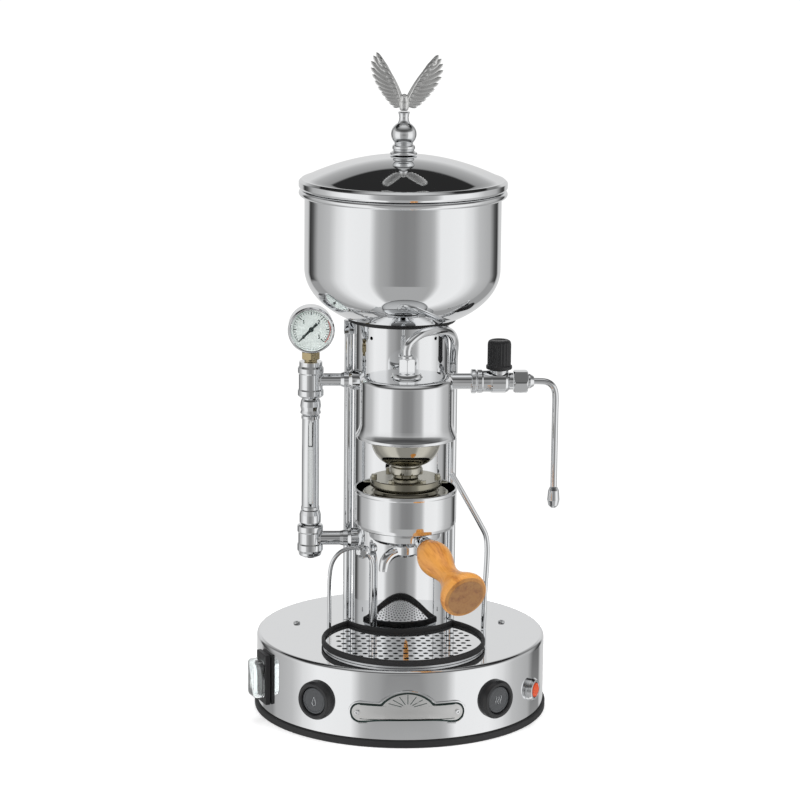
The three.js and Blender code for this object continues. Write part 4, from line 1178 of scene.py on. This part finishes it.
print("sight glass and gauge")
sight = {"x": -78.7, "y": 18.0, "upper": 285.0, "lower": 144.3, "guardLow": 170.0, "guardHigh": 253.7, "slot": 4.0,
    "guardOut": 7.55, "guardIn": 6.0, "tube": 4.2, "bore": 2.8, "water": 226.0}


def onSight(shape):
    return moved(shape, (sight["x"], sight["y"], 0))


def makeTees():
    upper = lathe([(0, 270), (9.8, 270, 0.5), (11.2, 271.6, 0.5), (11.2, 276, 0.4), (10.4, 277.2, 0.4),
        (10.4, 290.4, 0.4), (11.2, 291.6, 0.4), (11.2, 295.6, 0.6), (10.0, 297.4, 0.4), (10, 301), (0, 301)], 96, 4)
    makePiece("upperTee", onSight(upper), chrome)
    lower = lathe([(0, 127.5), (6, 127.5, 0.6), (9.6, 129.4, 1), (10.2, 132, 0.6), (11.3, 134, 0.5),
        (11.3, 139, 0.4), (10.5, 140.2, 0.4), (10.5, 149.6, 0.4), (11.3, 150.8, 0.4), (11.3, 155.4, 0.6),
        (10, 156.9, 0.4), (0, 156.9)], 96, 4)
    makePiece("lowerTee", onSight(lower), chrome)


def makeLevelPipe(title, radius, z):
    profile = lathe([(0, 36.6), (9.0, 36.6), (9.0, 43.2, 1.0), (7.0, 46, 1.2), (6.9, 50, 1), (radius, 53, 1),
        (radius, 69.8), (8.4, 69.8, 0.8), (8.4, 78, 0.5), (0, 78)])
    makePiece(title, alongX(profile, -1, sight["y"], z), chrome)


def makeGuard():
    low, high = sight["guardLow"], sight["guardHigh"]
    inner, outer = sight["guardIn"], sight["guardOut"]
    foot = [(inner, low), (8.0, low, 0.3), (8.0, low + 2.6, 0.4), (outer, low + 3.4)]
    head = [(outer, high - 3.4), (8.0, high - 2.6, 0.4), (8.0, high, 0.3), (inner, high)]
    tube = lathe(foot + head, 96, 4, True)
    half, tip = sight["slot"] / 2, 5.0
    window = [(-half, low + 3.2 + tip), (0, low + 3.2), (half, low + 3.2 + tip), (half, high - 3.2 - tip),
        (0, high - 3.2), (-half, high - 3.2 - tip)]
    cutter = facingFront(prism(window, 0, 20))
    rear = moved(cutter, turn=rotation("Z", 180))
    makePiece("sightGuard", onSight(carved(tube, cutter, rear)), chrome)
    tubeLow, tubeHigh = place("sight_tube")[1:]
    glass = roundTube(sight["bore"], sight["tube"], tubeLow[2], tubeHigh[2], 0.3, 64)
    makePiece("sightTube", onSight(glass), clearGlass)
    water = sight["water"]
    waterColumn = revolve([(0, tubeLow[2] + 1), (2.6, tubeLow[2] + 1), (2.6, water), (0, water - 0.5)], 32)
    makePiece("sightWater", onSight(waterColumn), clearGlass)


def makeGlands():
    upper = lathe([(4.3, 254), (7.4, 254, 0.3), (9, 256, 0.6), (8.3, 258.4, 0.8), (9.1, 262, 1.2),
        (8.5, 266.6, 1.0), (6.9, 269.7, 0.3), (4.3, 269.7)], 96, 5, True)
    makePiece("upperGland", onSight(upper), chrome, node="upper_gland_nut")
    lower = lathe([(4.3, 157.3), (8.4, 157.3, 0.3), (9.4, 159, 0.6), (9.4, 165.6, 0.8), (8.2, 169.6, 0.4),
        (4.3, 169.6)], 96, 5, True)
    makePiece("lowerGland", onSight(lower), chrome, node="lower_gland_nut")


makeTees()
makeLevelPipe("upperLevelPipe", 5.6, sight["upper"])
makeLevelPipe("lowerLevelPipe", 6.1, sight["lower"])
makeGuard()
makeGlands()

gauge = {"z": 331.0, "face": 10.8, "radius": 17.2, "start": -135, "sweep": 270, "needle": 14.0, "tail": -7.0,
    "ticks": (11.6, 12.6, 13.4), "tickEnd": 15.2, "numbers": 9.2, "zone": (15.8, 16.7)}


# The gauge is drawn facing front around the middle of its dial; depth is counted forward of the pipe's line.
def onGauge(shape):
    return moved(shape, (sight["x"], sight["y"], gauge["z"]))


def dialPoint(share, radius):
    angle = (gauge["start"] + gauge["sweep"] * share) * degree
    return np.array([math.sin(angle) * radius, math.cos(angle) * radius])


# A flat mark on the dial, given by its outline across the face, laid just proud of the enamel.
def dialMark(outline, raised=0.05):
    return facingFront(prism(outline, gauge["face"] - 0.05, gauge["face"] + raised))


def dialBand(start, end, inner, outer, raised=0.04):
    shares = np.linspace(start, end, 24)
    outside = [dialPoint(share, outer) for share in shares]
    inside = [dialPoint(share, inner) for share in shares]
    return dialMark(np.array(inside + outside[::-1]), raised)


def dialBar(start, end, width):
    return dialMark(barOutline(start, end, width))


# Number strokes on a grid two wide and four tall.
strokes = {0: [[(0, 1), (0, 3), (1, 4), (2, 3), (2, 1), (1, 0), (0, 1)]], 1: [[(0.4, 3.2), (1.2, 4), (1.2, 0)]],
    2: [[(0, 3.1), (0.5, 4), (1.5, 4), (2, 3), (0, 0), (2, 0)]],
    3: [[(0, 4), (2, 4), (1, 2.4), (2, 1.4), (1.4, 0), (0, 0.3)]]}


def dialNumber(number, share, radius, size=0.8, width=0.7):
    middle = dialPoint(share, radius) - np.array([1, 2]) * size
    bars = []
    for line in strokes[number]:
        points = middle + np.array(line) * size
        bars += [dialBar(a, b, width) for a, b in zip(points[:-1], points[1:])]
    return joined(*bars)


def makeGaugeCase():
    shell = lathe([(0, -7), (17, -7, 2.0), (19.3, -5, 1.0), (19.3, 13.6, 0.3), (20.0, 14.4, 0.6),
        (20.0, 16.6, 1.2), (18.9, 18.5, 0.9), (17.7, 17.8, 0.4), (17.6, -4.6), (0, -4.6)], 160, 6)
    makePiece("gaugeCase", onGauge(facingFront(shell)), chrome)
    neck = lathe([(0, 301.3), (5.6, 301.3), (5.6, 311.8), (0, 311.8)], 48, 3)
    collar = hexNut(15.2, 303.2, 309.9, 0.8, turn=10)
    makePiece("gaugeNeck", onSight(joined(neck, collar)), neckBrass)


def makeDial():
    disc = facingFront(rod(gauge["radius"], 9.6, gauge["face"], 128))
    makePiece("gaugeDial", onGauge(disc), dialEnamelGlow)
    end, marks = gauge["tickEnd"], []
    for index in range(31):
        inner = gauge["ticks"][0 if index % 10 == 0 else 1 if index % 5 == 0 else 2]
        width = 0.8 if index % 5 == 0 else 0.45
        marks.append(dialBar(dialPoint(index / 30, inner), dialPoint(index / 30, end), width))
    marks += [dialNumber(number, number / 3, gauge["numbers"]) for number in strokes]
    marks.append(dialBand(0, 1, end, end + 0.3))
    makePiece("dialMarks", onGauge(joined(*marks)), blackInk, slot="dial")
    makePiece("dialRed", onGauge(dialBand(0.72, 1, *gauge["zone"])), redInk)
    makePiece("dialGreen", onGauge(dialBand(0.30, 0.55, *gauge["zone"])), greenInk)


# The needle rests at zero; its blade tapers to the tip and carries a short counterweight.
def makeNeedle():
    tip, tail = dialPoint(0, gauge["needle"]), dialPoint(0, gauge["tail"])
    ahead = tip / np.linalg.norm(tip)
    across = np.array([ahead[1], -ahead[0]])
    spots = [(tip, 0.4), (tip, -0.4), (ahead * 2, -1.1), (tail * 0.4, -0.8), (tail, -1.3), (tail, 1.3),
        (tail * 0.4, 0.8), (ahead * 2, 1.1)]
    outline = np.array([spot + across * side for spot, side in spots])
    blade = facingFront(prism(outline, 11.6, 12.1))
    hub = facingFront(lathe([(0, 11.2), (2.1, 11.2), (2.1, 12.9, 0.5), (0, 13.0)], 48, 4))
    makePiece("gaugeNeedle", onGauge(joined(blade, hub)), blackInk, "needle_body", slot="black_plastic")
    pane = lathe([(0, 14.4), (17.1, 14.4, 0.2), (17.1, 15.7, 0.4), (0, 15.8)], 96, 4)
    makePiece("gaugeGlass", onGauge(facingFront(pane)), clearGlass)


makeGaugeCase()
makeDial()
makeNeedle()

print("small pipes and inner parts")


def makeSmallPipes():
    fitting = lathe([(0, 3.2), (6, 3.2, 0.5), (6, 7.2, 0.8), (4.6, 8.2, 0.4), (4.6, 10.6, 0.5), (3.0, 11.4, 0.4),
        (3.0, 12.9, 0.5), (0, 12.9)], 48, 4)
    parts = [moved(facingFront(fitting), (-33.5, 0, 138))]
    routes = [[(-34.5, 139.6), (-38, 141.6), (-43, 141.8), (-51, 139.4), (-57, 134), (-60.8, 126), (-62.4, 112),
        (-62.4, 90), (-62.4, 66.8)], [(-32.8, 137.2), (-29, 135.4), (-26.4, 131), (-25.3, 124), (-25.3, 105),
        (-25.3, 66.8)]]
    parts += [sweep(smoothCurve([(x, -8, z) for x, z in route], 10), 1.8, 24) for route in routes]
    makePiece("drainPipes", joined(*parts), chrome)
    route = [(43, 4, 205), (50, 2.6, 193), (60, 1.2, 175.5), (68, 0.3, 161.2), (73, 0, 151.2), (74.6, 0, 141),
        (74.6, 0, 128), (73.6, 0, 105), (72.5, 0, 66.8)]
    makePiece("exhaustPipe", sweep(smoothCurve(route, 10), 2.3, 28), chrome)


# Parts nobody sees keep their shape and only get a material.
def dressInnerParts():
    inner = {"pump": blackPlastic, "control_box": blackPlastic, "boiler_vessel": satinSteel,
        "heating_element": satinSteel, "outlet_strainer": satinSteel}
    for node, finish in inner.items():
        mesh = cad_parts[node].data
        mesh.materials.clear()
        mesh.materials.append(finish)


makeSmallPipes()
dressInnerParts()


# The floor is a small disc that meets the white background; the metal reflects the studio in its place.
def makeFloor():
    item = newFinish("floor", (0.93, 0.93, 0.93), 0.6, Emission_Color=(1, 1, 1, 1),
        Emission_Strength=studio["floorGlow"])[0]
    disc = meshObject("floor", rod(studio["floorRadius"], -0.6, -0.1, 128), millimetre)
    disc.data.materials.append(item)
    disc.visible_glossy = False


makeFloor()
